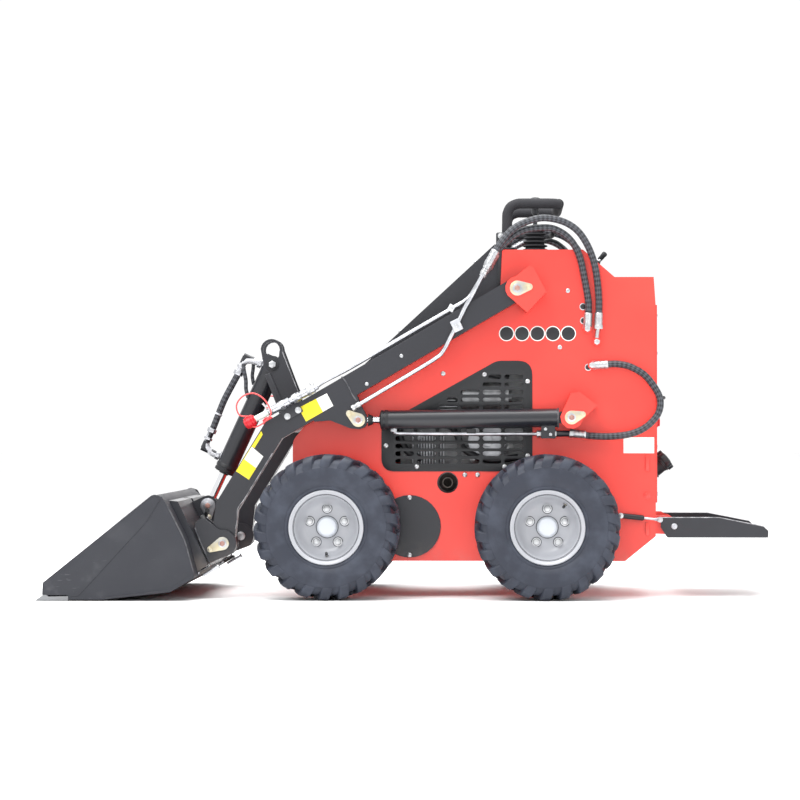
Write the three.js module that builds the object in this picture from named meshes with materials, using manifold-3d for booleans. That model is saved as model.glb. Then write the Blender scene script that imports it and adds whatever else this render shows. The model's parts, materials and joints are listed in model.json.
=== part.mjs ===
// Stand-on mini skid steer loader: hull, four wheels, lift arms, quick-attach plate, bucket and
// folding operator platform. Millimetres, +X forward, +Y to the machine's left, +Z up. Places along
// the machine are given from the rear axle and the ground; the last lines centre the whole group.
import * as THREE from 'three';
import { mergeVertices } from 'three/addons/utils/BufferGeometryUtils.js';
import Module from 'manifold-3d';

const wasm = await Module();
wasm.setup();

// ---- Driving dimensions -------------------------------------------------------------------------
const tyreDiameter = 458;
const tyreWidth = 215;
const rimDiameter = 232;
const wheelbase = 693;
const hullWidth = 560;
const plateThickness = 8;
const hullTop = 1112;
const clearanceUnderHull = 115;
const rearOverhang = 349;
const bucketWidth = 1080;
const bucketLength = 497;
const bucketHeight = 330;
const bucketSkin = 8;
const armDepth = 72;
const armWidth = 60;
const pivotHeight = 984;
const liftBarrelDiameter = 60;
const liftRodDiameter = 24;
const tiltBarrelDiameter = 68;
const tiltRodDiameter = 25;
const platformLength = 300;
const platformWidth = 524;
const hoseDiameter = 22;
const gripDiameter = 32;
const tyreFacets = 32;
const running = 0.5;
const seat = 0.3;

// ---- Places worked out from them (u forward of the rear axle, z above the ground) ---------------
const halfHull = hullWidth / 2;
const insideHull = halfHull - plateThickness;
const armInner = halfHull + 20;
const armOuter = armInner + armWidth;
const armMiddle = (armInner + armOuter) / 2;
const earInner = armOuter + 6;
const earOuter = earInner + 10;
const wheelRadius = tyreDiameter / 2;
const tyreInner = halfHull + 25;
const tyreOuter = tyreInner + tyreWidth;
const hullFront = wheelbase + 120;
const hullRear = -rearOverhang;

const boomPivot = [93.5, pivotHeight];
const elbow = [wheelbase + 175, pivotHeight - 450.4];
const knee = [wheelbase + 325, elbow[1] - 243.6];
const bucketPivot = [wheelbase + 337, knee[1] - 116.4];
const beamAngle = Math.atan2(elbow[1] - boomPivot[1], elbow[0] - boomPivot[0]);
const alongBeam = (from, distance, above) => [
  from[0] + distance * Math.cos(beamAngle) - above * Math.sin(beamAngle),
  from[1] + distance * Math.sin(beamAngle) + above * Math.cos(beamAngle),
];
const liftRodPin = alongBeam(elbow, -249, -107.5);
const liftBasePin = [-78.5, pivotHeight - 410.3];
const tiltBasePin = [elbow[0] + 28, elbow[1] + 216.4];
const tiltRodPin = [bucketPivot[0] + 80.6, bucketPivot[1] + 111.8];
const platformPivot = [hullRear - 60, clearanceUnderHull + 111];

// ---- Materials ----------------------------------------------------------------------------------
const finish = (color, roughness, metalness) => () =>
  new THREE.MeshStandardMaterial({ color, roughness, metalness });
const redPaint = finish(0xd63a2e, 0.42, 0.1);
const darkPaint = finish(0x33373d, 0.5, 0.1);
const blackSteel = finish(0x23262a, 0.55, 0.3);
const tyreRubber = finish(0x2a2d31, 0.85, 0);
const silverPaint = finish(0xc9ccce, 0.35, 0.7);
const chrome = finish(0xe2e4e6, 0.12, 1);
const hoseRubber = finish(0x1c1e20, 0.75, 0);
const foam = finish(0x1d1e20, 0.9, 0);
const wornSteel = finish(0x8e8a84, 0.5, 0.8);

// ---- Solids -------------------------------------------------------------------------------------
// A closed geometry as a solid that can be joined and cut.
function solid(geometry) {
  const bare = geometry.clone();
  bare.deleteAttribute('normal');
  bare.deleteAttribute('uv');
  const merged = mergeVertices(bare, 1e-4);
  return new wasm.Manifold(new wasm.Mesh({
    numProp: 3,
    vertProperties: new Float32Array(merged.attributes.position.array),
    triVerts: new Uint32Array(merged.index.array),
  }));
}

const join = (...solids) => solids.reduce((whole, next) => whole.add(next));
const cut = (body, ...tools) => tools.reduce((left, tool) => left.subtract(tool), body);

// A side outline drawn in (u, z), as thick as the stretch of Y between its two faces.
function slab(outline, yA, yB) {
  const shape = new THREE.Shape(outline.map(([u, z]) => new THREE.Vector2(u, z)));
  const geometry = new THREE.ExtrudeGeometry(shape, {
    depth: Math.abs(yB - yA),
    bevelEnabled: false,
  });
  geometry.rotateX(Math.PI / 2);
  geometry.translate(0, Math.max(yA, yB), 0);
  return solid(geometry);
}

function box(u0, u1, y0, y1, z0, z1) {
  const geometry = new THREE.BoxGeometry(Math.abs(u1 - u0), Math.abs(y1 - y0), Math.abs(z1 - z0));
  geometry.translate((u0 + u1) / 2, (y0 + y1) / 2, (z0 + z1) / 2);
  return solid(geometry);
}

// A round bar across the machine, through a point of the side view.
function crossBar([u, z], radius, yA, yB, sides = 20) {
  const geometry = new THREE.CylinderGeometry(radius, radius, Math.abs(yB - yA), sides);
  geometry.translate(u, (yA + yB) / 2, z);
  return solid(geometry);
}

// A straight round bar between two points in space.
function bar(from, to, radius, sides = 16) {
  const start = new THREE.Vector3(...from);
  const axis = new THREE.Vector3(...to).sub(start);
  const geometry = new THREE.CylinderGeometry(radius, radius, axis.length(), sides);
  geometry.translate(0, axis.length() / 2, 0);
  geometry.applyQuaternion(
    new THREE.Quaternion().setFromUnitVectors(new THREE.Vector3(0, 1, 0), axis.clone().normalize()),
  );
  geometry.translate(start.x, start.y, start.z);
  return solid(geometry);
}

// A turned shape: its profile of [radius, height] starts and ends on the axis or closes on itself.
function turned(profile, from, direction, sides = 32) {
  const geometry = new THREE.LatheGeometry(profile.map(([r, h]) => new THREE.Vector2(r, h)), sides);
  geometry.applyQuaternion(new THREE.Quaternion().setFromUnitVectors(
    new THREE.Vector3(0, 1, 0), new THREE.Vector3(...direction).normalize(),
  ));
  geometry.translate(...from);
  return solid(geometry);
}

// A round tube or hose along a smooth curve through its points.
function swept(points, radius, sides, steps) {
  const curve = new THREE.CatmullRomCurve3(points.map((p) => new THREE.Vector3(...p)), false,
    'centripetal');
  const section = new THREE.Shape();
  for (let i = 0; i < sides; i += 1) {
    const angle = (i / sides) * 2 * Math.PI;
    const x = radius * Math.cos(angle);
    const y = radius * Math.sin(angle);
    if (i === 0) {
      section.moveTo(x, y);
    } else {
      section.lineTo(x, y);
    }
  }
  return new THREE.ExtrudeGeometry(section, { steps, bevelEnabled: false, extrudePath: curve });
}

// Points of a round arc in the side view, from one angle to another in degrees.
function arc([u, z], radius, fromDegrees, toDegrees, steps = 6) {
  return Array.from({ length: steps + 1 }, (_, i) => {
    const angle = THREE.MathUtils.degToRad(fromDegrees + ((toDegrees - fromDegrees) * i) / steps);
    return [u + radius * Math.cos(angle), z + radius * Math.sin(angle)];
  });
}

const deg = THREE.MathUtils.radToDeg;
const angleTo = (from, to) => deg(Math.atan2(to[1] - from[1], to[0] - from[0]));
const spaced = (from, to, distance) => {
  const length = Math.hypot(to[0] - from[0], to[1] - from[1]);
  return [
    from[0] + ((to[0] - from[0]) * distance) / length,
    from[1] + ((to[1] - from[1]) * distance) / length,
  ];
};

const machine = new THREE.Group();

function add(name, shape, material, parent = machine) {
  let geometry = shape;
  if (shape instanceof wasm.Manifold) {
    const mesh = shape.getMesh();
    geometry = new THREE.BufferGeometry();
    geometry.setAttribute('position', new THREE.BufferAttribute(mesh.vertProperties, 3));
    geometry.setIndex(new THREE.BufferAttribute(mesh.triVerts, 1));
    geometry.computeVertexNormals();
  }
  const mesh = new THREE.Mesh(geometry, material());
  mesh.name = name;
  parent.add(mesh);
  return mesh;
}

const sides = [['left', 1], ['right', -1]];

// The outline of a bent strip of even thickness, lying to the left of its path.
function strip(path, thickness) {
  const offset = path.map((point, i) => {
    const before = path[Math.max(i - 1, 0)];
    const after = path[Math.min(i + 1, path.length - 1)];
    const into = Math.atan2(point[1] - before[1], point[0] - before[0]);
    const out = Math.atan2(after[1] - point[1], after[0] - point[0]);
    const first = i === 0 ? out : into;
    const last = i === path.length - 1 ? into : out;
    const half = Math.atan2(Math.sin(last - first), Math.cos(last - first)) / 2;
    const normal = first + half + Math.PI / 2;
    const reach = thickness / Math.cos(half);
    return [point[0] + reach * Math.cos(normal), point[1] + reach * Math.sin(normal)];
  });
  return [...path, ...offset.reverse()];
}

// A convex outline drawn in by the same distance all round.
function inset(outline, distance) {
  const path = [outline.at(-1), ...outline, outline[0]];
  return strip(path, distance).slice(path.length + 1, -1).reverse();
}

// ---- Hull: side plates --------------------------------------------------------------------------
const hullFrontTop = [wheelbase + 83, elbow[1] + 13.4];
const hullFrontShoulder = [hullFront, elbow[1] - 47.6];
const hullFrontCorner = arc([hullFront - 40, hullFrontShoulder[1]], 40, 0, 40, 3);
const consoleFront = 141;
const rearDeck = hullTop - 88;
const sideOutline = [
  [hullRear + 98, clearanceUnderHull],
  [hullFront, clearanceUnderHull],
  ...hullFrontCorner,
  hullFrontTop,
  [consoleFront + 6, pivotHeight + 6],
  [consoleFront, hullTop],
  [-117, hullTop],
  [-218, rearDeck],
  [hullRear + 6, rearDeck],
  [hullRear, rearDeck - 89],
  [hullRear, clearanceUnderHull + 80],
];

const grilleRear = 45;
const grilleFront = wheelbase - 165;
const grilleBottom = 402;
const grilleTop = 756;
const grilleOutline = [
  [grilleRear, grilleBottom],
  [grilleFront, grilleBottom],
  [grilleFront, grilleTop - 206],
  [grilleRear + 113, grilleTop],
  [grilleRear, grilleTop],
];
const grilleFrame = 24;
const grilleThickness = 3;
const exhaustPlace = [316, 366];
const exhaustHole = 34;
const pinRadius = 17;
const liftPinRadius = 15;
const banjoRadius = 13;
const hoseBanjos = [[-161, 815.7], [-131, 857.1], [-145, 741.4]];
const axleTube = 30;
const axles = { front: [wheelbase, wheelRadius], rear: [0, wheelRadius] };

function sidePlate(side) {
  const y = (value) => side * value;
  const plate = slab(sideOutline, y(insideHull), y(halfHull));
  const pivotEar = slab([
    ...arc(boomPivot, 38, -62, 84),
    [boomPivot[0] - 37, boomPivot[1] + 71],
    [boomPivot[0] - 50, boomPivot[1] + 68],
    [boomPivot[0] - 92, boomPivot[1] - 11],
    [boomPivot[0] - 31, boomPivot[1] - 77],
  ], y(earInner), y(earOuter));
  const pivotEarWall = slab(strip([
    [boomPivot[0] - 50, boomPivot[1] + 68],
    [boomPivot[0] - 92, boomPivot[1] - 11],
    [boomPivot[0] - 31, boomPivot[1] - 77],
  ], 8), y(halfHull - 1), y(earOuter));
  const pivotPin = crossBar(boomPivot, pinRadius, y(halfHull - 1), y(earOuter + 2));
  const liftEar = slab([
    ...arc(liftBasePin, 36, -170, 40),
    [liftBasePin[0] + 2, liftBasePin[1] + 78],
    [liftBasePin[0] - 27, liftBasePin[1] + 81],
    [liftBasePin[0] - 80, liftBasePin[1] + 39],
  ], y(earInner), y(earOuter));
  const liftEarWall = slab(strip([
    [liftBasePin[0] + 2, liftBasePin[1] + 78],
    [liftBasePin[0] - 27, liftBasePin[1] + 81],
    [liftBasePin[0] - 80, liftBasePin[1] + 39],
  ], 8), y(halfHull - 1), y(earOuter));
  const liftPin = crossBar(liftBasePin, liftPinRadius, y(halfHull - 1), y(earOuter + 2));
  const banjos = hoseBanjos.map((place) => crossBar(place, banjoRadius, y(halfHull - 1),
    y(halfHull + 24), 16));
  const welded = join(plate, pivotEar, pivotEarWall, pivotPin, liftEar, liftEarWall, liftPin,
    ...banjos);
  const through = [y(insideHull - 5), y(halfHull + 1)];
  const openings = [
    crossBar(axles.front, axleTube + running, ...through),
    crossBar(axles.rear, axleTube + running, ...through),
    slab(inset(grilleOutline, grilleFrame), ...through),
  ];
  if (side > 0) {
    openings.push(crossBar(exhaustPlace, exhaustHole, ...through));
  }
  return cut(welded, ...openings);
}

for (const [name, side] of sides) {
  add(`side_plate_${name}`, sidePlate(side), redPaint);
}

// ---- Hull: belly, front bulkhead, console and rear panel ----------------------------------------
const tubHalf = insideHull - seat;
const hoodHinge = [wheelbase + 84, hullFrontTop[1] + 12];
const hingeRadius = 7;
const hingeHalf = 60;
const platformLugs = [platformWidth / 2 - 22, platformWidth / 2 - 10];
const platformPinRadius = 10;
const rearWallTop = clearanceUnderHull + 187;

function chassisTub() {
  const wall = slab(strip([
    [hullRear, rearWallTop],
    [hullRear, clearanceUnderHull + 80],
    [hullRear + 98, clearanceUnderHull],
    [hullFront, clearanceUnderHull],
    ...hullFrontCorner,
    hullFrontTop,
  ], 8), -tubHalf, tubHalf);
  const hinge = join(
    crossBar(hoodHinge, hingeRadius, -hingeHalf, hingeHalf, 16),
    slab([
      [hullFrontTop[0] - 6, hullFrontTop[1] - 6],
      [hullFrontTop[0] + 2, hullFrontTop[1] - 6],
      [hoodHinge[0] + 3, hoodHinge[1]],
      [hoodHinge[0] - 4, hoodHinge[1]],
    ], -hingeHalf, hingeHalf),
  );
  const lugs = sides.map(([, side]) => cut(
    slab([
      [hullRear + 4, platformPivot[1] - 24],
      [hullRear + 4, platformPivot[1] + 34],
      [platformPivot[0] + 14, platformPivot[1] + 34],
      ...arc(platformPivot, 26, 90, 270, 8),
    ], side * platformLugs[0], side * platformLugs[1]),
    crossBar(platformPivot, platformPinRadius + running, side * (platformLugs[0] - 1),
      side * (platformLugs[1] + 1)),
  ));
  const engineRails = sides.map(([, side]) => box(engineRear + 30, engineFront - 30,
    side * (engineHalf - 40), side * (engineHalf - 32), clearanceUnderHull + 4, engineBottom - seat));
  return join(wall, hinge, ...lugs, ...engineRails);
}

const engineRear = 70;
const engineFront = 470;
const engineHalf = 190;
const engineBottom = 330;
const engineTop = 720;

add('chassis_tub', chassisTub(), redPaint);
add('engine_block', box(engineRear, engineFront, -engineHalf, engineHalf, engineBottom, engineTop),
  blackSteel);

const consolePath = [
  [consoleFront, hullTop],
  [-117, hullTop],
  [-218, rearDeck],
  [hullRear + 6, rearDeck],
  [hullRear, rearDeck - 89],
];
const consoleSkin = 6;
add('console_top', join(
  slab(strip(consolePath, consoleSkin), -tubHalf, tubHalf),
  slab(strip([[consoleFront - 6, pivotHeight - 20], [consoleFront - 6, hullTop - 1]], consoleSkin),
    -tubHalf, tubHalf),
), redPaint);

const rearPanelOut = 5;
const fillerPlace = [hullRear - rearPanelOut, 400];
const fillerUp = [-0.78, 0, 0.62];
const fillerNeck = 40;
add('rear_panel', join(
  box(hullRear - rearPanelOut, hullRear + 1, -(tubHalf - 2), tubHalf - 2, rearWallTop + seat,
    rearDeck - 89 - seat),
  turned(
    [[0, -2], [26, -2], [26, fillerNeck], [0, fillerNeck]],
    [fillerPlace[0] + 4, 0, fillerPlace[1]],
    fillerUp,
  ),
), redPaint);
add('filler_cap', turned(
  [[0, fillerNeck + seat], [34, fillerNeck + seat], [37, fillerNeck + 6], [37, fillerNeck + 22],
    [30, fillerNeck + 28], [0, fillerNeck + 28]],
  [fillerPlace[0] + 4, 0, fillerPlace[1]], fillerUp, 24), blackSteel);

// ---- Grilles and round drive covers -------------------------------------------------------------
const grille = (side) => slab(grilleOutline, side * (halfHull + seat),
  side * (halfHull + seat + grilleThickness));

const coverPlace = [wheelbase - 255, 226];
const coverRadius = 100;
for (const [name, side] of sides) {
  add(`grille_${name}`, grille(side), blackSteel);
  add(`drive_cover_${name}`, crossBar(coverPlace, coverRadius, side * (halfHull + seat),
    side * (halfHull + seat + 4), 32), blackSteel);
}

const exhaustRadius = 17;
const exhaustLeft = halfHull + 6;
add('exhaust_pipe', cut(
  join(
    crossBar(exhaustPlace, exhaustRadius, engineHalf + seat, exhaustLeft),
    crossBar(exhaustPlace, exhaustRadius + 12, engineHalf + seat, engineHalf + 6),
  ),
  crossBar(exhaustPlace, exhaustRadius - 3, engineHalf + 20, exhaustLeft + 1),
), wornSteel);

// ---- Axles --------------------------------------------------------------------------------------
const spindleRadius = 22;
const spindleReach = (tyreInner + tyreOuter) / 2 - 45;
const hubFlange = 70;
for (const [name, place] of Object.entries(axles)) {
  add(`${name}_axle`, join(
    crossBar(place, axleTube, -(halfHull + 4), halfHull + 4),
    crossBar(place, spindleRadius, -spindleReach, spindleReach, tyreFacets / 2),
    ...sides.map(([, side]) => crossBar(place, hubFlange, side * (halfHull + seat),
      side * (halfHull + 12))),
  ), blackSteel);
}

// ---- Engine hood, hinged along its front edge ---------------------------------------------------
const hoodHalf = tubHalf - 9;
const hoodTop = [consoleFront + 25, hullTop + 18];
const hoodFront = [hoodHinge[0] - 6, hoodHinge[1] + 14];
const hoodSkin = 4;

function engineHood() {
  const shell = slab(strip([
    hoodFront,
    hoodTop,
    [consoleFront + 7, hoodTop[1]],
    [consoleFront + 7, pivotHeight - 4],
  ], hoodSkin), -hoodHalf, hoodHalf);
  const cheek = [
    [hoodFront[0] - 2, hoodFront[1] - 1],
    [hoodTop[0], hoodTop[1] - 1],
    [consoleFront + 8, hoodTop[1] - 1],
    [consoleFront + 8, pivotHeight - 4],
    [hoodFront[0] - 28, hoodFront[1] - 34],
  ];
  const cheeks = sides.map(([, side]) => slab(cheek, side * (hoodHalf - hoodSkin), side * hoodHalf));
  const knuckles = sides.map(([, side]) => join(
    crossBar(hoodHinge, hingeRadius, side * (hingeHalf + seat), side * (hingeHalf + 50), 16),
    slab([
      [hoodHinge[0] - 6, hoodHinge[1] - 3],
      [hoodHinge[0] + 4, hoodHinge[1] + 4],
      [hoodFront[0] + 1, hoodFront[1]],
      [hoodFront[0] - 10, hoodFront[1] + 6],
    ], side * (hingeHalf + seat), side * (hingeHalf + 50)),
  ));
  return join(shell, ...cheeks, ...knuckles);
}

add('engine_hood', engineHood(), darkPaint);

// ---- Wheels -------------------------------------------------------------------------------------
const rimRadius = rimDiameter / 2;
const rimHalf = tyreWidth / 2 - 10.5;
const rimProfile = [
  [0, -40], [spindleRadius + running, -40], [spindleRadius + running, -88], [45, -88], [45, 24],
  [78, 16], [rimRadius - 18, 14], [rimRadius - 18, 5 - rimHalf], [rimRadius - 4, -rimHalf],
  [rimRadius, 6.5 - rimHalf], [rimRadius - 14, 7.5 - rimHalf],
  [rimRadius - 14, rimHalf - 7.5], [rimRadius, rimHalf - 6.5],
  [rimRadius - 4, rimHalf], [rimRadius - 18, rimHalf - 5], [rimRadius - 18, 30], [92, 22],
  [78, 26], [72, 34], [31, 34], [31, 54], [24, 58], [0, 58],
];
// The tyre stands on the flat of a facet, so its corners lie a little further out.
const wheelTop = wheelRadius / Math.cos(Math.PI / tyreFacets);
const tyreHalfProfile = [
  [rimRadius - 14 + seat, rimHalf - 7.5 - seat],
  [rimRadius + 1, rimHalf - 7],
  [rimRadius + 7, rimHalf + 3],
  [rimRadius + 34, tyreWidth / 2],
  [wheelRadius - 30, tyreWidth / 2],
  [wheelTop - 8, tyreWidth / 2 - 9],
  [wheelTop, tyreWidth / 2 - 34],
];
const tyreInboard = tyreHalfProfile.map(([r, y]) => [r, -y]);
const tyreProfile = [...tyreInboard, ...tyreHalfProfile.reverse(), tyreInboard[0]];

for (const [end, place] of Object.entries(axles)) {
  for (const [name, side] of sides) {
    const wheel = new THREE.Group();
    wheel.position.set(place[0], side * (tyreInner + tyreWidth / 2), place[1]);
    wheel.rotation.z = side > 0 ? 0 : Math.PI;
    machine.add(wheel);
    const tyre = add(`tyre_${end}_${name}`, turned(tyreProfile, [0, 0, 0], [0, 1, 0], tyreFacets),
      tyreRubber, wheel);
    tyre.rotation.y = Math.PI / tyreFacets;
    const rim = add(`rim_${end}_${name}`, turned(rimProfile, [0, 0, 0], [0, 1, 0], tyreFacets / 2),
      silverPaint, wheel);
    rim.rotation.y = Math.PI / tyreFacets;
  }
}

// ---- Lift arms and their cross tube -------------------------------------------------------------
const halfArm = armDepth / 2;
const boomEnd = 38;
const forkEnd = 42;
const armPath = [boomPivot, elbow, knee, bucketPivot];
const shifted = (path, distance) => strip(path, distance).slice(path.length).reverse();
const lugThickness = 6;
const lugOutline = [
  [52, 129], [35, 129], [4, 78], [-7, 49], ...arc([0, 0], 29, 150, 285, 6), [24, -27], [90, -1],
  [140, -5], [162, 30],
].map(([u, z]) => [liftRodPin[0] + u, liftRodPin[1] + z]);

// Steel risers that carry the boom hoses' ends, from the arm's face and its top.
const boomRisers = [
  [[180.5, 372, 1069], [217, armMiddle + 40, 1001], [262, armMiddle + 33, 915]],
  [[181, 344, 1061], [228, armMiddle + 15, 985], [262, armMiddle + 17, 915]],
];

function boomArm(side) {
  const faces = [side * armInner, side * armOuter];
  const beam = slab([...shifted(armPath, -halfArm), ...shifted(armPath, halfArm).reverse()], ...faces);
  const lugs = [
    slab(lugOutline, side * armInner, side * (armInner + lugThickness)),
    slab(lugOutline, side * (armOuter - lugThickness), side * armOuter),
  ];
  const risers = boomRisers.flatMap((route) => route.slice(1).map((point, i) => bar(
    [route[i][0], side * route[i][1], route[i][2]],
    [point[0], side * point[1], point[2]],
    6,
    10,
  )));
  const welded = join(beam, crossBar(boomPivot, boomEnd, ...faces, 32),
    crossBar(bucketPivot, forkEnd, ...faces, 32), ...lugs, ...risers);
  return cut(
    welded,
    crossBar(boomPivot, pinRadius + running, side * (armInner - 1), side * (armOuter + 1)),
    crossBar(bucketPivot, pinRadius + running, side * (armInner - 1), side * (armOuter + 1)),
  );
}

for (const [name, side] of sides) {
  add(`boom_arm_${name}`, boomArm(side), darkPaint);
}

const crossTube = alongBeam(elbow, -38, 4);
const crossTubeRadius = 30;
const towerInner = tiltBarrelDiameter / 2 + 10;
const towerThickness = 12;
const towerLoop = [tiltBasePin[0] + 3, tiltBasePin[1] + 48];
const towerOutline = [
  [crossTube[0] - 26, crossTube[1] - 10],
  [crossTube[0] + 26, crossTube[1] - 10],
  [tiltBasePin[0] - 13, tiltBasePin[1] - 128],
  ...arc(tiltBasePin, 31, -60, 10, 4),
  ...arc(towerLoop, 36, 5, 180, 10),
  [tiltBasePin[0] - 92, tiltBasePin[1] - 108],
];
// A teardrop hole for a lifting hook.
const hookHole = [
  ...arc(towerLoop, 27, -20, 200, 10),
  ...arc([towerLoop[0] - 17, towerLoop[1] - 18], 8, 200, 320, 3),
];
const tiltPinRadius = 15;

add('boom_crosstube', join(
  crossBar(crossTube, crossTubeRadius, -(armInner - seat), armInner - seat, 32),
  crossBar(tiltBasePin, tiltPinRadius, -(towerInner + 1), towerInner + 1),
  ...sides.map(([, side]) => cut(
    slab(towerOutline, side * towerInner, side * (towerInner + towerThickness)),
    slab(hookHole, side * (towerInner - 1), side * (towerInner + towerThickness + 1)),
  )),
), darkPaint);

// Quick couplers for hydraulic tools, carried by a bracket on each arm's outer face.
const couplerStart = alongBeam(elbow, -188, 50);
const couplerEnd = alongBeam(elbow, -12, 57);
const couplerTip = alongBeam(elbow, 48, 60);
const couplerCap = alongBeam(elbow, 66, 60);
const couplerY = armOuter + 17;

function auxCoupler(side) {
  const y = side * couplerY;
  const spot = ([u, z]) => [u, y, z];
  const bracket = slab([
    alongBeam(elbow, -110, 5), alongBeam(elbow, -50, 5), alongBeam(elbow, -50, 45),
    alongBeam(elbow, -110, 45),
  ], side * (armOuter + seat), side * (armOuter + 6));
  return join(
    bracket,
    bar(spot(couplerStart), spot(couplerEnd), 14, 16),
    bar(spot(couplerEnd), spot(couplerTip), 10, 12),
    crossBar(couplerCap, 20, y - side * 9, y + side * 9, 20),
  );
}

for (const [name, side] of sides) {
  add(`aux_coupler_${name}`, auxCoupler(side), chrome);
}

// ---- Hydraulic cylinders ------------------------------------------------------------------------
// A barrel along the line from its base pin to the rod's pin, with the bore that its rod slides in.
function barrel({ base, rodPin, y, radius, from, to, rodRadius, boreStart, eye, eyeHalf, pin }) {
  const spot = (distance) => {
    const [u, z] = spaced(base, rodPin, distance);
    return [u, y, z];
  };
  return cut(
    join(bar(spot(from), spot(to), radius, 20), crossBar(base, eye, y - eyeHalf, y + eyeHalf)),
    bar(spot(boreStart), spot(to + 1), rodRadius + 2 * running, 20),
    crossBar(base, pin + running, y - eyeHalf - radius, y + eyeHalf + radius),
  );
}

function rod({ base, rodPin, y, rodRadius, rodStart, rodEye, rodEyeHalf }) {
  const [u, z] = spaced(base, rodPin, rodStart);
  return join(
    bar([u, y, z], [rodPin[0], y, rodPin[1]], rodRadius, 20),
    crossBar(rodPin, rodEye, y - rodEyeHalf, y + rodEyeHalf),
  );
}

const liftLength = Math.hypot(liftRodPin[0] - liftBasePin[0], liftRodPin[1] - liftBasePin[1]);
const liftStroke = 400;
const portBlock = [[52, -66], [96, -66], [96, -24], [52, -24]];

for (const [name, side] of sides) {
  const lift = {
    base: liftBasePin,
    rodPin: liftRodPin,
    y: side * armMiddle,
    radius: liftBarrelDiameter / 2,
    from: 40,
    to: liftLength - 71,
    rodRadius: liftRodDiameter / 2,
    boreStart: liftLength - liftStroke - 130,
    eye: 30,
    eyeHalf: 26,
    pin: liftPinRadius,
    rodStart: liftLength - liftStroke - 120,
    rodEye: 24,
    rodEyeHalf: armWidth / 2 - lugThickness - running,
  };
  const neck = crossBar([liftBasePin[0] + 28, liftBasePin[1]], 20, lift.y - 20, lift.y + 20);
  const port = slab(portBlock.map(([u, z]) => [liftBasePin[0] + u, liftBasePin[1] + z]),
    lift.y - 17, lift.y + 17);
  const inlet = bar([liftBasePin[0] - 6, lift.y, liftBasePin[1] - 51],
    [liftBasePin[0] + 54, lift.y, liftBasePin[1] - 51], 10, 12);
  const bore = crossBar(liftBasePin, liftPinRadius + running, lift.y - 40, lift.y + 40);
  add(`lift_barrel_${name}`, cut(join(barrel(lift), neck, port, inlet), bore), blackSteel);
  add(`lift_rod_${name}`, rod(lift), chrome);
}

const tiltLength = Math.hypot(tiltRodPin[0] - tiltBasePin[0], tiltRodPin[1] - tiltBasePin[1]);
const tiltEarInner = 22;
const tiltEarThickness = 12;
const tilt = {
  base: tiltBasePin,
  rodPin: tiltRodPin,
  y: 0,
  radius: tiltBarrelDiameter / 2,
  from: -26,
  to: tiltLength - 122,
  rodRadius: tiltRodDiameter / 2,
  boreStart: tiltLength - 425,
  eye: 29,
  eyeHalf: towerInner - 2,
  pin: tiltPinRadius,
  rodStart: tiltLength - 380,
  rodEye: 22,
  rodEyeHalf: tiltEarInner - running,
};
const tiltAcross = (distance, forward, y = 0) => {
  const [u, z] = spaced(tiltBasePin, tiltRodPin, distance);
  const lean = THREE.MathUtils.degToRad(angleTo(tiltBasePin, tiltRodPin) + 90);
  return [u + forward * Math.cos(lean), y, z + forward * Math.sin(lean)];
};
const portReach = tilt.radius + 61;
const tiltPorts = [[14, 56], [tiltLength - 164, -68]];
add('tilt_barrel', join(
  barrel(tilt),
  ...tiltPorts.flatMap(([place, turn]) => [
    bar(tiltAcross(place, tilt.radius - 4), tiltAcross(place, portReach + 8), 10, 12),
    bar(tiltAcross(place, portReach), tiltAcross(place + turn, portReach), 11, 12),
  ]),
), blackSteel);
add('tilt_rod', rod(tilt), chrome);

// ---- Quick-attach plate -------------------------------------------------------------------------
const bucketBack = bucketPivot[0] + 75.1;
const backFace = [
  [bucketBack, bucketPivot[1] - 88.6],
  [bucketBack + 30, bucketPivot[1] + 16.4],
  [bucketBack + 91, bucketPivot[1] + 137.4],
];
const plateBottom = [bucketPivot[0] + 43, bucketPivot[1] - 64.6];
const plateTop = [bucketPivot[0] + 138, bucketPivot[1] + 134.7];
const plateHalf = armOuter + 55;
const attachFace = [
  plateBottom,
  ...backFace.map(([u, z]) => [u - seat, z]),
  plateTop,
];
const armLug = [
  [90, 56], [81, 72.6], [60, 81.4], [21, 52],
  ...arc([0, 0], 44, 80, 232, 8),
  [46, -62],
].map(([u, z]) => [bucketPivot[0] + u, bucketPivot[1] + z]);
const tiltEar = [
  ...arc(tiltRodPin, 33, 60, 205, 8),
  [bucketPivot[0] + 72, bucketPivot[1] + 0],
  [bucketPivot[0] + 84, bucketPivot[1] + 2],
  [bucketPivot[0] + 140, bucketPivot[1] + 120],
];
const armLugGap = 4;
const armLugThickness = 10;

function attachPlate() {
  const plate = cut(
    slab(attachFace, -plateHalf, plateHalf),
    box(bucketPivot[0] + 20, bucketBack + 120, -tiltEarInner, tiltEarInner, bucketPivot[1] - 10,
      bucketPivot[1] + 142),
  );
  const lugs = sides.flatMap(([, side]) => [
    slab(armLug, side * (armInner - armLugGap - armLugThickness), side * (armInner - armLugGap)),
    slab(armLug, side * (armOuter + armLugGap), side * (armOuter + armLugGap + armLugThickness)),
    crossBar(bucketPivot, pinRadius, side * (armInner - armLugGap - armLugThickness - 2),
      side * (armOuter + armLugGap + armLugThickness + 2)),
  ]);
  const ears = sides.map(([, side]) => slab(tiltEar, side * tiltEarInner,
    side * (tiltEarInner + tiltEarThickness)));
  return join(plate, ...lugs, ...ears);
}

add('attach_plate', attachPlate(), darkPaint);

// ---- Bucket -------------------------------------------------------------------------------------
const bucketTip = bucketBack + bucketLength;
const bucketFloor = 2;
const bucketCrest = [bucketBack + 114, bucketFloor + bucketHeight];
const floorFront = [bucketTip - 207, bucketFloor + 2];
const bucketHalf = bucketWidth / 2;
const edgeDepth = 100;
const edgeThickness = 16;

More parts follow.
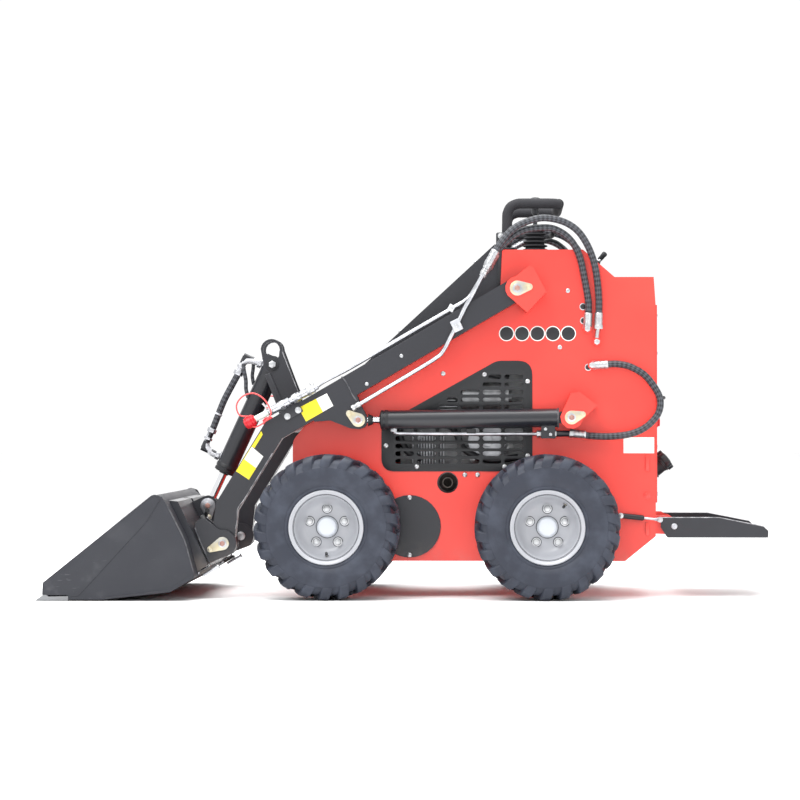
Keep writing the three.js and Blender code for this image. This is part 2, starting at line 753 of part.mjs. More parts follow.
function bucketShell() {
  const skin = slab(strip([
    bucketCrest,
    backFace[2],
    backFace[1],
    backFace[0],
    [bucketBack, bucketPivot[1] - 101.6],
    [bucketBack + 44, 46],
    [bucketBack + 70, 30],
    floorFront,
    [bucketTip - 20, floorFront[1]],
  ], bucketSkin), -(bucketHalf - bucketSkin + 1), bucketHalf - bucketSkin + 1);
  const cheek = [
    [bucketBack + 100, bucketFloor + bucketHeight - 6],
    backFace[2],
    backFace[1],
    backFace[0],
    [bucketBack, bucketPivot[1] - 101.6],
    [bucketBack + 44, 46],
    [bucketBack + 70, 30],
    floorFront,
    [bucketTip - 30, floorFront[1]],
    [bucketTip - 22, 21],
    [bucketTip - 24, 57],
    ...arc([bucketBack + 122, bucketFloor + bucketHeight - 22], 22, 50, 110, 4),
  ];
  const cheeks = sides.map(([, side]) => slab(cheek, side * (bucketHalf - bucketSkin),
    side * bucketHalf));
  const cuttingEdge = slab([
    [bucketTip - edgeDepth, bucketFloor],
    [bucketTip, bucketFloor],
    [bucketTip - 26, bucketFloor + edgeThickness],
    [bucketTip - edgeDepth, bucketFloor + edgeThickness],
  ], -bucketHalf, bucketHalf);
  return join(skin, ...cheeks, cuttingEdge);
}

add('bucket', bucketShell(), darkPaint);

// ---- Operator platform and its dampers ----------------------------------------------------------
const platformRear = platformPivot[0] - platformLength;
const platformHalf = platformWidth / 2;
const platformSide = [
  [platformPivot[0] + 43, platformPivot[1] + 29],
  [platformPivot[0] - 143, platformPivot[1] + 29],
  [platformRear + 16, platformPivot[1] + 1],
  [platformRear, platformPivot[1] - 14],
  [platformRear, platformPivot[1] - 28],
  [platformRear + 8, platformPivot[1] - 36],
  [platformPivot[0] + 22, platformPivot[1] - 36],
  [platformPivot[0] + 43, platformPivot[1] - 4],
];
const deckStart = platformPivot[0] - 36;

add('platform', join(
  ...sides.map(([, side]) => slab(platformSide, side * (platformHalf - 8), side * platformHalf)),
  ...sides.map(([, side]) => crossBar(platformPivot, platformPinRadius,
    side * (platformLugs[0] - 4), side * (platformHalf - 4))),
  box(platformRear, deckStart, -(platformHalf - 7), platformHalf - 7, platformPivot[1] - 36,
    platformPivot[1] - 30),
  box(platformRear, platformRear + 6, -(platformHalf - 7), platformHalf - 7, platformPivot[1] - 36,
    platformPivot[1] - 14),
), darkPaint);

const damperY = halfHull + 12;
const damperFront = [hullRear + 112, platformPivot[1] + 35];
const damperRear = [hullRear - 13, platformPivot[1] + 22];
const damperMiddle = spaced(damperFront, damperRear, 78);
for (const [name, side] of sides) {
  const y = side * damperY;
  add(`platform_damper_${name}`, join(
    bar([damperFront[0], y, damperFront[1]], [damperMiddle[0], y, damperMiddle[1]], 8, 14),
    bar([damperMiddle[0], y, damperMiddle[1]], [damperRear[0], y, damperRear[1]], 4, 12),
    crossBar(damperFront, 6, side * (halfHull + seat), side * (damperY + 4), 14),
    crossBar(damperRear, 6, side * (platformHalf + running), side * (damperY + 4), 14),
  ), blackSteel);
}

// ---- Controls -----------------------------------------------------------------------------------
const barHeight = hullTop + 154;
const barHalf = 200;
const barFront = consoleFront - gripDiameter / 2;
const barRear = -42;
const barBend = 45;
const cornerPoints = (corner, from, to) => [0.15, 0.5, 0.85].map((t) => {
  const [a, b] = [from, to].map((end) => new THREE.Vector3(...end));
  const middle = new THREE.Vector3(...corner);
  return new THREE.QuadraticBezierCurve3(a, middle, b).getPoint(t).toArray();
});

function handBar() {
  const half = (side) => [
    [barFront, side * barHalf, hullTop + seat],
    [barFront, side * barHalf, hullTop + 60],
    [barFront, side * barHalf, barHeight - barBend],
    ...cornerPoints([barFront, side * barHalf, barHeight], [barFront, side * barHalf,
      barHeight - barBend], [barFront - barBend, side * barHalf, barHeight]),
    [barFront - barBend, side * barHalf, barHeight],
    [barRear + barBend, side * barHalf, barHeight],
    ...cornerPoints([barRear, side * barHalf, barHeight], [barRear + barBend, side * barHalf,
      barHeight], [barRear, side * (barHalf - barBend), barHeight]),
    [barRear, side * (barHalf - barBend), barHeight],
  ];
  const feet = sides.map(([, side]) => box(barFront - 26, consoleFront - 1, side * (barHalf - 26),
    side * (barHalf + 26), hullTop + seat, hullTop + 10));
  return join(solid(swept([...half(1), ...half(-1).reverse()], gripDiameter / 2, 10, 44)), ...feet);
}

add('hand_bar', handBar(), foam);

const leverPlace = [32, 0, hullTop + seat];
const bellows = [[0, 0], [44, 0], [44, 10]];
for (let ring = 0; ring < 5; ring += 1) {
  const grown = 42 - ring * 1.6;
  bellows.push([grown - 8, 14 + ring * 15], [grown, 21 + ring * 15]);
}
bellows.push([24, 92], [0, 92]);
add('control_boot', turned(bellows, leverPlace, [0, 0, 1], 20), foam);
add('control_lever', turned([
  [0, 92 + seat], [7, 92 + seat], [7, 150], [15, 158], [18, 172], [14, 186], [0, 190],
], leverPlace, [0, 0, 1], 16), blackSteel);
const leverRoot = [-160, hullTop - 37.2];
const leverUp = [-0.657, 0, 0.754];
add('throttle_lever', join(
  turned([[0, 0], [14, 0], [14, 8], [0, 8]], [leverRoot[0], -90, leverRoot[1]], leverUp, 16),
  bar([leverRoot[0] - 3, -90, leverRoot[1] + 4], [leverRoot[0] - 20, -90, leverRoot[1] + 26], 5, 10),
  bar([leverRoot[0] - 19, -90, leverRoot[1] + 23], [leverRoot[0] - 46, -90, leverRoot[1] + 47], 8, 12),
), blackSteel);

// ---- Hoses --------------------------------------------------------------------------------------
// Chosen routes of the left-hand hoses, as [u, y, z]; the right-hand ones mirror them.
const boomHoseOuter = [
  [180, 372, 1070], [148.6, 366, 1124], [100.8, 352, 1178], [37, 336, 1205.5], [-10.9, 324, 1208.7],
  [-65, 314, 1194], [-106.6, 308, 1162], [-138.5, 303, 1108], [-157.6, 299, 1044],
  [-167, 295, 960], [-167.2, 294, 901],
];
const boomHoseInner = [
  [180, 344, 1062], [148.6, 342, 1112], [84.8, 330, 1166], [5, 316, 1180], [-42.8, 307, 1168],
  [-81, 301, 1136], [-106.6, 297, 1086], [-122.5, 295, 1012.5], [-134, 294, 940], [-131.5, 294, 884],
  [-131, 294, 870.6],
];
const liftHose = [
  [-158.5, 297, 741.5], [-175, 297, 742], [-205, 298, 745], [-235, 299, 744], [-270, 302, 735],
  [-313.9, 307, 708], [-350, 314, 660],
  [-362, 319, 623], [-352, 323, 582], [-314, 327, 543], [-266, 329, 522], [-202, 330, 514],
  [-138.5, 330, 516], [-105, 330, 522], [-86.5, 330, 522.7],
];
const hoseSides = 8;
const hoseStep = 2.5 * hoseDiameter;

function hose(points, side) {
  const route = points.map(([u, y, z]) => [u, side * y, z]);
  const length = route.slice(1).reduce((sum, point, i) => sum
    + Math.hypot(...point.map((value, axis) => value - route[i][axis])), 0);
  return solid(swept(route, hoseDiameter / 2, hoseSides, Math.ceil(length / hoseStep) + 6));
}

for (const [name, side] of sides) {
  add(`boom_hose_outer_${name}`, hose(boomHoseOuter, side), hoseRubber);
  add(`boom_hose_inner_${name}`, hose(boomHoseInner, side), hoseRubber);
  add(`lift_hose_${name}`, hose(liftHose, side), hoseRubber);
}

const [tiltHoseTop, tiltHoseFoot] = tiltPorts.map(([place, turn]) => place + turn);
const tiltHosePoints = [
  tiltAcross(tiltHoseTop + seat, portReach),
  tiltAcross(tiltHoseTop + 14, portReach),
  tiltAcross(tiltHoseTop + 60, portReach + 3),
  tiltAcross((tiltHoseTop + tiltHoseFoot) / 2, portReach + 5),
  tiltAcross(tiltHoseFoot - 60, portReach + 3),
  tiltAcross(tiltHoseFoot - 14, portReach),
  tiltAcross(tiltHoseFoot - seat, portReach),
];
add('tilt_hose', solid(swept(tiltHosePoints, hoseDiameter / 2, hoseSides, 16)), hoseRubber);

// ---- Centre of the machine's length -------------------------------------------------------------
machine.position.x = -(bucketTip + platformRear) / 2;

export default machine;
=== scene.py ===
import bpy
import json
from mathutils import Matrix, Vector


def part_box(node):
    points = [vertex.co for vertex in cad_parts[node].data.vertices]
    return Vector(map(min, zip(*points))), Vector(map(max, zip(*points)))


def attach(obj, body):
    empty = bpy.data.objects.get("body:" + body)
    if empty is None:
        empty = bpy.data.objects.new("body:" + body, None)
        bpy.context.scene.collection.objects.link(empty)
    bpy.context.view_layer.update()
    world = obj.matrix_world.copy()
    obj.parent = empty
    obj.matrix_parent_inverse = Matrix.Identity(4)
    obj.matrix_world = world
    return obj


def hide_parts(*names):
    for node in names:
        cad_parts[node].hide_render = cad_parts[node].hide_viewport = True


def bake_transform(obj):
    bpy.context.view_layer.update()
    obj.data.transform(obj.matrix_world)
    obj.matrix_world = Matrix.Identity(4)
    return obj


bl_info = {
    "name": "Mini Skid Steer Loader",
    "version": (1, 0, 0),
    "blender": (4, 5, 0),
    "location": "3D View > Sidebar > Loader",
    "description": "Dresses the packed frame of a stand-on mini skid steer loader",
    "category": "Object",
}

import json
from math import acos, cos, pi, radians, sin, tau

import bmesh
import bpy
from bpy.props import FloatProperty, FloatVectorProperty, IntProperty, PointerProperty
from mathutils import Matrix, Vector

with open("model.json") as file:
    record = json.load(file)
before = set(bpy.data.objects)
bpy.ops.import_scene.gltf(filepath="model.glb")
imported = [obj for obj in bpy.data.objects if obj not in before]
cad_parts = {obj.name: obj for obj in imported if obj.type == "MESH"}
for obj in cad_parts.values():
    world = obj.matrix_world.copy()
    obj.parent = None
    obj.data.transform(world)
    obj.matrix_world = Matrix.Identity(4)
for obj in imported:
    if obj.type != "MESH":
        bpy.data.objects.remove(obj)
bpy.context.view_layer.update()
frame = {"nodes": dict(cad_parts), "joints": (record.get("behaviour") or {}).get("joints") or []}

MM = 0.001
SIDES = (("left", 1), ("right", -1))
ENDS = ("front", "rear")
ACROSS = Vector((0, 1, 0))
UP = Vector((0, 0, 1))
ACROSS_CORNERS = 1.154   # a hexagon's width over its corners, for 1 over its flats
FORWARD = Vector((1, 0, 0))
ANCHOR = {joint["name"]: Vector(joint["pos_m"]) for joint in frame["joints"]
          if "pos_m" in joint}
# Distances along the machine are measured in mm, forward from the rear axle.
REAR_AXLE = ANCHOR["wheel_rear_left_spin"].x


def at(u, y, z):
    """A point in the frame from mm forward of the rear axle, mm left, mm up."""
    return Vector((REAR_AXLE + u * MM, y * MM, z * MM))


def u_of(point):
    """How far forward of the rear axle a point in the frame is, in mm."""
    return (point.x - REAR_AXLE) / MM


def spot_of(joint):
    """Where a joint is in the side view: mm forward of the rear axle, mm up."""
    return (u_of(ANCHOR[joint]), ANCHOR[joint].z / MM)


# ---------------------------------------------------------------- finishes

class Signal:
    """A number that varies over a surface. Python's operators add its Math nodes."""

    def __init__(self, finish, socket):
        self.finish = finish
        self.socket = socket

    def maths(self, operation, first, second):
        """One Math node on two values or signals."""
        made = self.finish.node("ShaderNodeMath", {"operation": operation},
                                {0: first, 1: second})
        return Signal(self.finish, made.outputs[0])

    def __add__(self, other):
        return self.maths("ADD", self, other)

    def __radd__(self, other):
        return self.maths("ADD", other, self)

    def __sub__(self, other):
        return self.maths("SUBTRACT", self, other)

    def __rsub__(self, other):
        return self.maths("SUBTRACT", other, self)

    def __mul__(self, other):
        return self.maths("MULTIPLY", self, other)

    def __rmul__(self, other):
        return self.maths("MULTIPLY", other, self)

    def limited(self, low, high):
        """0 below low, 1 above high, and smooth between."""
        made = self.finish.node(
            "ShaderNodeMapRange", {"interpolation_type": "SMOOTHSTEP"},
            {"Value": self, "From Min": low, "From Max": high})
        return Signal(self.finish, made.outputs["Result"])

    def wave(self):
        """The sine of an angle in radians."""
        return self.maths("SINE", self, 0.0)

    def greater(self, other):
        """Whichever is the larger, at each point."""
        return self.maths("MAXIMUM", self, other)


class Finish:
    """One material, as a node tree around a Principled shader."""

    def __init__(self, name, **fixed):
        self.material = bpy.data.materials.new(name)
        self.material.use_nodes = True
        self.tree = self.material.node_tree
        self.tree.nodes.clear()
        self.shader = self.tree.nodes.new("ShaderNodeBsdfPrincipled")
        output = self.tree.nodes.new("ShaderNodeOutputMaterial")
        self.tree.links.new(self.shader.outputs["BSDF"], output.inputs["Surface"])
        for socket, value in fixed.items():
            self.shader.inputs[socket.replace("_", " ")].default_value = value
        self.places = self.node("ShaderNodeTexCoord").outputs["Object"]

    def node(self, kind, settings=None, inputs=None):
        """Adds a node: its settings first, then its sockets' values or links."""
        made = self.tree.nodes.new(kind)
        for name, value in (settings or {}).items():
            setattr(made, name, value)
        for name, value in (inputs or {}).items():
            self.join(made.inputs[name], value)
        return made

    def join(self, socket, value):
        """Links a signal or socket to a socket, or sets the socket's own value."""
        if isinstance(value, Signal):
            value = value.socket
        if isinstance(value, bpy.types.NodeSocket):
            self.tree.links.new(value, socket)
        else:
            socket.default_value = value

    def noise(self, scale, detail, stretch=(1, 1, 1)):
        """Cloudy noise in the frame's metres, about 0.5 on average."""
        mapped = self.node("ShaderNodeMapping", None,
                           {"Vector": self.places, "Scale": stretch})
        made = self.node("ShaderNodeTexNoise", None,
                         {"Vector": mapped.outputs[0], "Scale": scale, "Detail": detail})
        return Signal(self, made.outputs["Fac"])

    def along(self, axis):
        """The Object coordinate along axis 0, 1 or 2."""
        made = self.node("ShaderNodeSeparateXYZ", None, {0: self.places})
        return Signal(self, made.outputs[axis])

    def mixed(self, share, first, second):
        """A colour between first and second, as share goes from 0 to 1."""
        made = self.node("ShaderNodeMix", {"data_type": "RGBA"},
                         {0: share, 6: full(first), 7: full(second)})
        return made.outputs[2]

    def bumped(self, height, distance):
        """A normal that leans as height's slope does. The distance is in metres."""
        made = self.node("ShaderNodeBump", None,
                         {"Height": height, "Distance": distance, "Strength": 1.0})
        return made.outputs["Normal"]

    def worn(self, colour, roughness, normal=None, metallic=None):
        """Sends what varies to the shader and gives back the material."""
        self.join(self.shader.inputs["Base Color"], colour)
        self.join(self.shader.inputs["Roughness"], roughness)
        if normal is not None:
            self.join(self.shader.inputs["Normal"], normal)
        if metallic is not None:
            self.join(self.shader.inputs["Metallic"], metallic)
        return self.material


def full(colour):
    """A colour with its alpha, or a socket as it is."""
    return colour if isinstance(colour, bpy.types.NodeSocket) else (*colour[:3], 1.0)


def enamel(name, colour, deep, dust, coat, roughness, dust_top):
    """Sprayed paint: slow change of tone, fine orange peel, dust near the ground."""
    finish = Finish(name, Coat_Weight=coat, Coat_Roughness=0.12, IOR=1.5)
    clouds = finish.noise(4.0, 2.0)
    specks = finish.noise(260.0, 2.0)
    low = 1.0 - finish.along(2).limited(0.02, dust_top)
    film = low * finish.noise(18.0, 5.0).limited(0.35, 0.75) * 0.55
    body = finish.mixed(clouds.limited(0.3, 0.7), colour, deep)
    peel = finish.bumped(finish.noise(900.0, 1.0) + specks * 0.5, 0.00006)
    return finish.worn(finish.mixed(film, body, dust),
                       specks * 0.08 + film * 0.35 + roughness, peel)


def scraped(name, colour, bare, dust, scrape_from, scrape_to):
    """Dark paint that work has scratched and, towards the cutting edge, worn bright."""
    finish = Finish(name, IOR=1.5)
    long_scratches = finish.noise(26.0, 6.0, (1.0, 9.0, 7.0))
    fine_scratches = finish.noise(60.0, 4.0, (14.0, 1.0, 2.0))
    scuffs = finish.noise(11.0, 6.0)
    reach = finish.along(0).limited(scrape_from, scrape_to)
    lines = long_scratches.limited(0.66, 0.72).greater(fine_scratches.limited(0.68, 0.74))
    metal = (lines * (reach * 0.5 + 0.12)).greater(
        (reach * scuffs.limited(0.55, 0.68)) * 0.6)
    dusty = scuffs.limited(0.35, 0.8) * 0.35
    body = finish.mixed(dusty, colour, dust)
    dents = finish.bumped(finish.noise(9.0, 2.0) + long_scratches * 0.15, 0.0008)
    return finish.worn(finish.mixed(metal, body, bare), 0.55 - metal * 0.2 + dusty * 0.2,
                       dents, metal * 0.8)


def rubber(name, colour, dust):
    """Tyre rubber: matt, grained, with dried dust on the outside of the tread."""
    finish = Finish(name, IOR=1.45)
    grain = finish.noise(420.0, 3.0)
    patches = finish.noise(16.0, 5.0).limited(0.4, 0.72)
    rough = patches * 0.16 + grain * 0.08 + 0.5
    return finish.worn(finish.mixed(patches * 0.5, colour, dust), rough,
                       finish.bumped(grain + patches * 0.4, 0.00012))


def plated(name, colour, tint, roughness, metallic):
    """Plated or bare metal: faint patches of tint and fine tool marks."""
    finish = Finish(name, Metallic=metallic)
    patches = finish.noise(38.0, 4.0).limited(0.35, 0.7)
    marks = finish.noise(520.0, 2.0, (1.0, 0.25, 1.0))
    return finish.worn(finish.mixed(patches, colour, tint), marks * 0.14 + roughness,
                       finish.bumped(marks, 0.00003))


def chrome(name, colour):
    """A ground and chromed rod, with hairlines round it and a trace of oil."""
    finish = Finish(name, Metallic=1.0)
    hairlines = finish.noise(1400.0, 1.0, (1.0, 0.02, 0.02))
    oil = finish.noise(14.0, 4.0).limited(0.5, 0.8)
    return finish.worn(finish.mixed(oil * 0.4, colour, (0.42, 0.40, 0.37)),
                       hairlines * 0.06 + oil * 0.12 + 0.08,
                       finish.bumped(hairlines, 0.00001))


def sheathed(name, colour, lighter, pitch, starts, depth):
    """A braided hose: two sets of spiral strands, from the hose's own lie attribute."""
    finish = Finish(name, IOR=1.45)
    lie = finish.node("ShaderNodeAttribute", {"attribute_name": "lie"}).outputs["Vector"]
    parts = finish.node("ShaderNodeSeparateXYZ", None, {0: lie})
    turned = finish.node("ShaderNodeMath", {"operation": "ARCTAN2"},
                         {0: parts.outputs[1], 1: parts.outputs[0]})
    angle = Signal(finish, turned.outputs[0])
    run = Signal(finish, parts.outputs[2]) * (tau / pitch)
    one_way = (angle * starts + run).wave()
    other_way = (angle * starts - run).wave()
    strands = (one_way * other_way).limited(-0.6, 0.6)
    scuffs = finish.noise(30.0, 4.0).limited(0.45, 0.75)
    tone = finish.mixed(strands * 0.8, colour, lighter)
    return finish.worn(finish.mixed(scuffs * 0.25, tone, lighter), scuffs * 0.12 + 0.42,
                       finish.bumped(strands, depth))


def moulded(name, colour, shade, roughness, grain):
    """Plastic, vinyl film or foam: a fine moulded grain over a slow change of tone."""
    finish = Finish(name, IOR=1.46)
    skin = finish.noise(grain, 2.0)
    return finish.worn(finish.mixed(finish.noise(12.0, 3.0).limited(0.3, 0.7), colour,
                                    shade), skin * 0.1 + roughness,
                       finish.bumped(skin, 0.00008))


# ---------------------------------------------------------------- shapes

def upright(u, y, z):
    """A place at a point given in mm, turned as the frame is."""
    return Matrix.Translation(at(u, y, z))


def facing(point, direction, spin=0.0):
    """A place at a point whose Z axis runs along a direction."""
    turn = Vector(direction).to_track_quat("Z", "Y").to_matrix().to_4x4()
    return Matrix.Translation(point) @ turn @ Matrix.Rotation(spin, 4, "Z")


def bevelled(shape, width, segments, angle=30):
    """Rounds by width, in mm, the edges where a shape turns by more than an angle."""
    sharp = [edge for edge in shape.edges if len(edge.link_faces) == 2
             and edge.calc_face_angle() > radians(angle)]
    bmesh.ops.bevel(shape, geom=sharp, offset=width * MM, offset_type="OFFSET",
                    segments=segments, profile=0.5, affect="EDGES", material=-1,
                    clamp_overlap=True)
    return shape


def block(size, edge, segments=2):
    """A box about its own middle, with rounded edges, from sizes in mm."""
    shape = bmesh.new()
    bmesh.ops.create_cube(shape, size=1.0)
    bmesh.ops.scale(shape, vec=[length * MM for length in size], verts=shape.verts)
    return bevelled(shape, edge, segments)


def drum(radius, height, edge, sides):
    """A bar or disc that stands on the XY plane, with rounded rims, from sizes in mm."""
    shape = bmesh.new()
    bmesh.ops.create_cone(shape, cap_ends=True, segments=sides, radius1=radius * MM,
                          radius2=radius * MM, depth=height * MM)
    bmesh.ops.translate(shape, vec=(0, 0, height * MM / 2), verts=shape.verts)
    return bevelled(shape, edge, 2, 50)


def turned(profile, steps, closed=False):
    """A profile of (radius, height) points in mm, turned once round the Z axis."""
    shape = bmesh.new()
    points = [shape.verts.new((radius * MM, 0, height * MM)) for radius, height in profile]
    edges = [shape.edges.new(pair) for pair in zip(points, points[1:])]
    if closed:
        edges.append(shape.edges.new((points[-1], points[0])))
    bmesh.ops.spin(shape, geom=points + edges, cent=(0, 0, 0), axis=(0, 0, 1), angle=tau,
                   steps=steps, use_merge=True, use_duplicate=False)
    bmesh.ops.remove_doubles(shape, verts=shape.verts, dist=1e-6)
    bmesh.ops.recalc_face_normals(shape, faces=shape.faces)
    return shape


def sheet_of(outline, thickness, edge, holes, segments=2):
    """A flat plate on the XY plane, cut to an outline and with holes, all in mm."""
    shape = bmesh.new()
    for loop in (outline, *holes):
        ring = [shape.verts.new((x * MM, y * MM, 0)) for x, y in loop]
        for pair in zip(ring, ring[1:] + ring[:1]):
            shape.edges.new(pair)
    bmesh.ops.triangle_fill(shape, use_beauty=True, use_dissolve=False, edges=shape.edges,
                            normal=(0, 0, 1))
    grown = bmesh.ops.extrude_face_region(shape, geom=shape.faces[:])
    lifted = [item for item in grown["geom"] if isinstance(item, bmesh.types.BMVert)]
    bmesh.ops.translate(shape, vec=(0, 0, thickness * MM), verts=lifted)
    bmesh.ops.recalc_face_normals(shape, faces=shape.faces)
    bmesh.ops.dissolve_limit(shape, angle_limit=radians(1), verts=shape.verts,
                             edges=shape.edges)
    return bevelled(shape, edge, segments)


def disc_outline(x, y, radius):
    """A circle round (x, y), as an outline."""
    turns = [tau * k / 40 for k in range(40)]
    return [(x + radius * cos(turn), y + radius * sin(turn)) for turn in turns]


def rounded(outline, radius):
    """An outline whose corners are rounded: one radius, or one for each corner."""
    radii = radius if hasattr(radius, "__len__") else [radius] * len(outline)
    made, count, points = [], len(outline), 6
    for k, corner in enumerate(outline):
        here = Vector(corner)
        back = Vector(outline[k - 1]) - here
        on = Vector(outline[(k + 1) % count]) - here
        half = back.angle(on) / 2
        reach = min(radii[k] / max(abs(sin(half) / cos(half)), 1e-6), back.length * 0.49,
                    on.length * 0.49)
        start, end = here + back.normalized() * reach, here + on.normalized() * reach
        for step in range(points + 1):
            share = step / points
            first, second = start.lerp(here, share), here.lerp(end, share)
            made.append(tuple(first.lerp(second, share)))
    return made


def smooth_line(points, spacing):
    """The points, in metres, resampled evenly along one smooth curve through them."""
    dense = []
    for k in range(len(points) - 1):
        p0 = points[max(k - 1, 0)]
        p1, p2 = points[k], points[k + 1]
        p3 = points[min(k + 2, len(points) - 1)]
        for step in range(16):
            t = step / 16
            dense.append(0.5 * ((2 * p1) + (p2 - p0) * t
                                + (2 * p0 - 5 * p1 + 4 * p2 - p3) * t * t
                                + (3 * p1 - p0 - 3 * p2 + p3) * t ** 3))
    dense.append(points[-1].copy())
    runs = [0.0]
    for first, second in zip(dense, dense[1:]):
        runs.append(runs[-1] + (second - first).length)
    count = max(2, round(runs[-1] / spacing))
    made, k = [], 0
    for step in range(count + 1):
        want = runs[-1] * step / count
        while k < len(runs) - 2 and runs[k + 1] < want:
            k += 1
        share = (want - runs[k]) / max(runs[k + 1] - runs[k], 1e-9)
        made.append(dense[k].lerp(dense[k + 1], min(max(share, 0.0), 1.0)))
    return made


def pipe(line, radius, sides, flare=None):
    """A round tube along a line of points. Its lie attribute says where on it one is."""
    shape = bmesh.new()
    lie = shape.verts.layers.float_vector.new("lie")
    ring = bmesh.ops.create_circle(shape, segments=sides, radius=1.0,
                                   cap_ends=True)["verts"]
    for vert in ring:
        vert[lie] = vert.co
    edges = shape.edges[:]
    side = (line[1] - line[0]).orthogonal()
    run = 0.0
    for k, point in enumerate(line):
        ahead = (line[min(k + 1, len(line) - 1)] - line[max(k - 1, 0)]).normalized()
        side = (side - ahead * side.dot(ahead)).normalized()
        other = ahead.cross(side)
        if k:
            run += (point - line[k - 1]).length
            grown = bmesh.ops.extrude_edge_only(shape, edges=edges)["geom"]
            ring = [item for item in grown if isinstance(item, bmesh.types.BMVert)]
            edges = [item for item in grown if isinstance(item, bmesh.types.BMEdge)]
        wide = radius if flare is None else radius * flare(k / (len(line) - 1))
        for vert in ring:
            x, y = vert[lie].x, vert[lie].y
            vert.co = point + (side * x + other * y) * wide
            vert[lie] = (x, y, run)
    bmesh.ops.contextual_create(shape, geom=edges)
    bmesh.ops.recalc_face_normals(shape, faces=shape.faces)
    return shape


def poured(shape, into):
    """Moves the whole of one shape into another."""
    passing = bpy.data.meshes.new("passing")
    shape.to_mesh(passing)
    shape.free()
    into.from_mesh(passing)
    bpy.data.meshes.remove(passing)


def placed(shape, place):
    """The shape itself, moved to a place."""
    bmesh.ops.transform(shape, matrix=place, verts=shape.verts)
    return shape


def mirrored(shape):
    """The same shape on the machine's other side."""
    bmesh.ops.scale(shape, vec=(1, -1, 1), verts=shape.verts)
    bmesh.ops.reverse_faces(shape, faces=shape.faces)
    return shape


class Piece:
    """Shapes gathered into one object, each with its own material."""

    def __init__(self, name):
        self.name = name
        self.shape = bmesh.new()
        self.materials = []

    def add(self, shape, material, place=None, side=1, smooth=True):
        """Takes a shape in, moved to its place and onto the given side."""
        if place is not None:
            placed(shape, place)
        if side < 0:
            mirrored(shape)
        if material not in self.materials:
            self.materials.append(material)
        index = self.materials.index(material)
        for face in shape.faces:
            face.material_index = index
            face.smooth = smooth
        poured(shape, self.shape)
        return self

    def made(self, body, slot, replaces=(), sharp=35.0, even=False):
        """The finished object, riding on its body. Even keeps its flats flat in light."""
        mesh = bpy.data.meshes.new(self.name)
        self.shape.to_mesh(mesh)
        self.shape.free()
        for name in self.materials:
            mesh.materials.append(bpy.data.materials[name])
        mesh.set_sharp_from_angle(angle=radians(sharp))
        piece = bpy.data.objects.new(self.name, mesh)
        bpy.context.scene.collection.objects.link(piece)
        if even:
            levelled = piece.modifiers.new("level_normals", "WEIGHTED_NORMAL")
            levelled.keep_sharp = True
            levelled.weight = 50
        if body is not None:
            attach(piece, body)
        if replaces:
            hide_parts(*replaces)
        return piece


def add_line(piece, points, radius, finish, side, spacing=0.006, sides=12):
    """A round tube through points given as (mm forward, mm left, mm up)."""
    line = smooth_line([at(u, y, z) for u, y, z in points], spacing)
    piece.add(pipe(line, radius * MM, sides), finish, side=side)


# ---------------------------------------------------------------- settings

def paint_setting(name, description, default):
    """A paint's setting, in linear light."""
    return FloatVectorProperty(name=name, description=description, default=default, size=3,
                               subtype="COLOR", min=0, max=1)


def size_setting(name, description, default, least):
    """A size's setting, in metres."""
    return FloatProperty(name=name, description=description, default=default, min=least,
                         unit="LENGTH")


class LoaderPaints(bpy.types.PropertyGroup):
    """Colours of the machine's finishes, in linear light."""

    body: paint_setting("Body paint", "Enamel on the hull and hood", (0.80, 0.052, 0.036))
    body_deep: paint_setting("Body paint, deep", "The enamel's deeper patches",
                             (0.74, 0.040, 0.028))
    arms: paint_setting("Arm paint", "Enamel on the lift arms, tower and bucket",
                        (0.0145, 0.0155, 0.0215))
    tyres: paint_setting("Tyres", "Tyre rubber", (0.0185, 0.0225, 0.036))
    wheels: paint_setting("Wheels", "Silver paint on the rims", (0.39, 0.40, 0.43))
    dust: paint_setting("Dust", "Dried dust that has settled low on the machine",
                        (0.30, 0.25, 0.21))


class LoaderSizes(bpy.types.PropertyGroup):
    """Sizes of the fittings that dress the frame."""

    bolt_radius: size_setting("Bolt size", "Radius of the hull's domed bolt heads", 0.008,
                              0.003)
    hose_diameter: size_setting("Hose", "Outside diameter of the hydraulic hoses", 0.022,
                                0.006)
    line_diameter: size_setting("Steel line", "Outside diameter of the steel oil lines",
                                0.0132, 0.004)
    grip_diameter: size_setting("Grip", "Outside diameter of the hand bar's foam", 0.033,
                                0.02)
    tread_depth: size_setting("Tread depth", "How far the tyre's lugs stand up", 0.013,
                              0.002)
    tread_pitches: IntProperty(
        name="Lugs", description="Lugs on each shoulder of a tyre",
        default=22, min=8, max=40)
    weld_width: size_setting("Weld", "Width of a weld bead", 0.006, 0.002)


def paints():
    """The colours set for this scene."""
    return bpy.context.scene.loader_paints


def sizes():
    """The fittings' sizes set for this scene."""
    return bpy.context.scene.loader_sizes


ZINC = (0.56, 0.57, 0.58)
WARM_ZINC = (0.62, 0.55, 0.38)
YELLOW = (0.90, 0.74, 0.03)


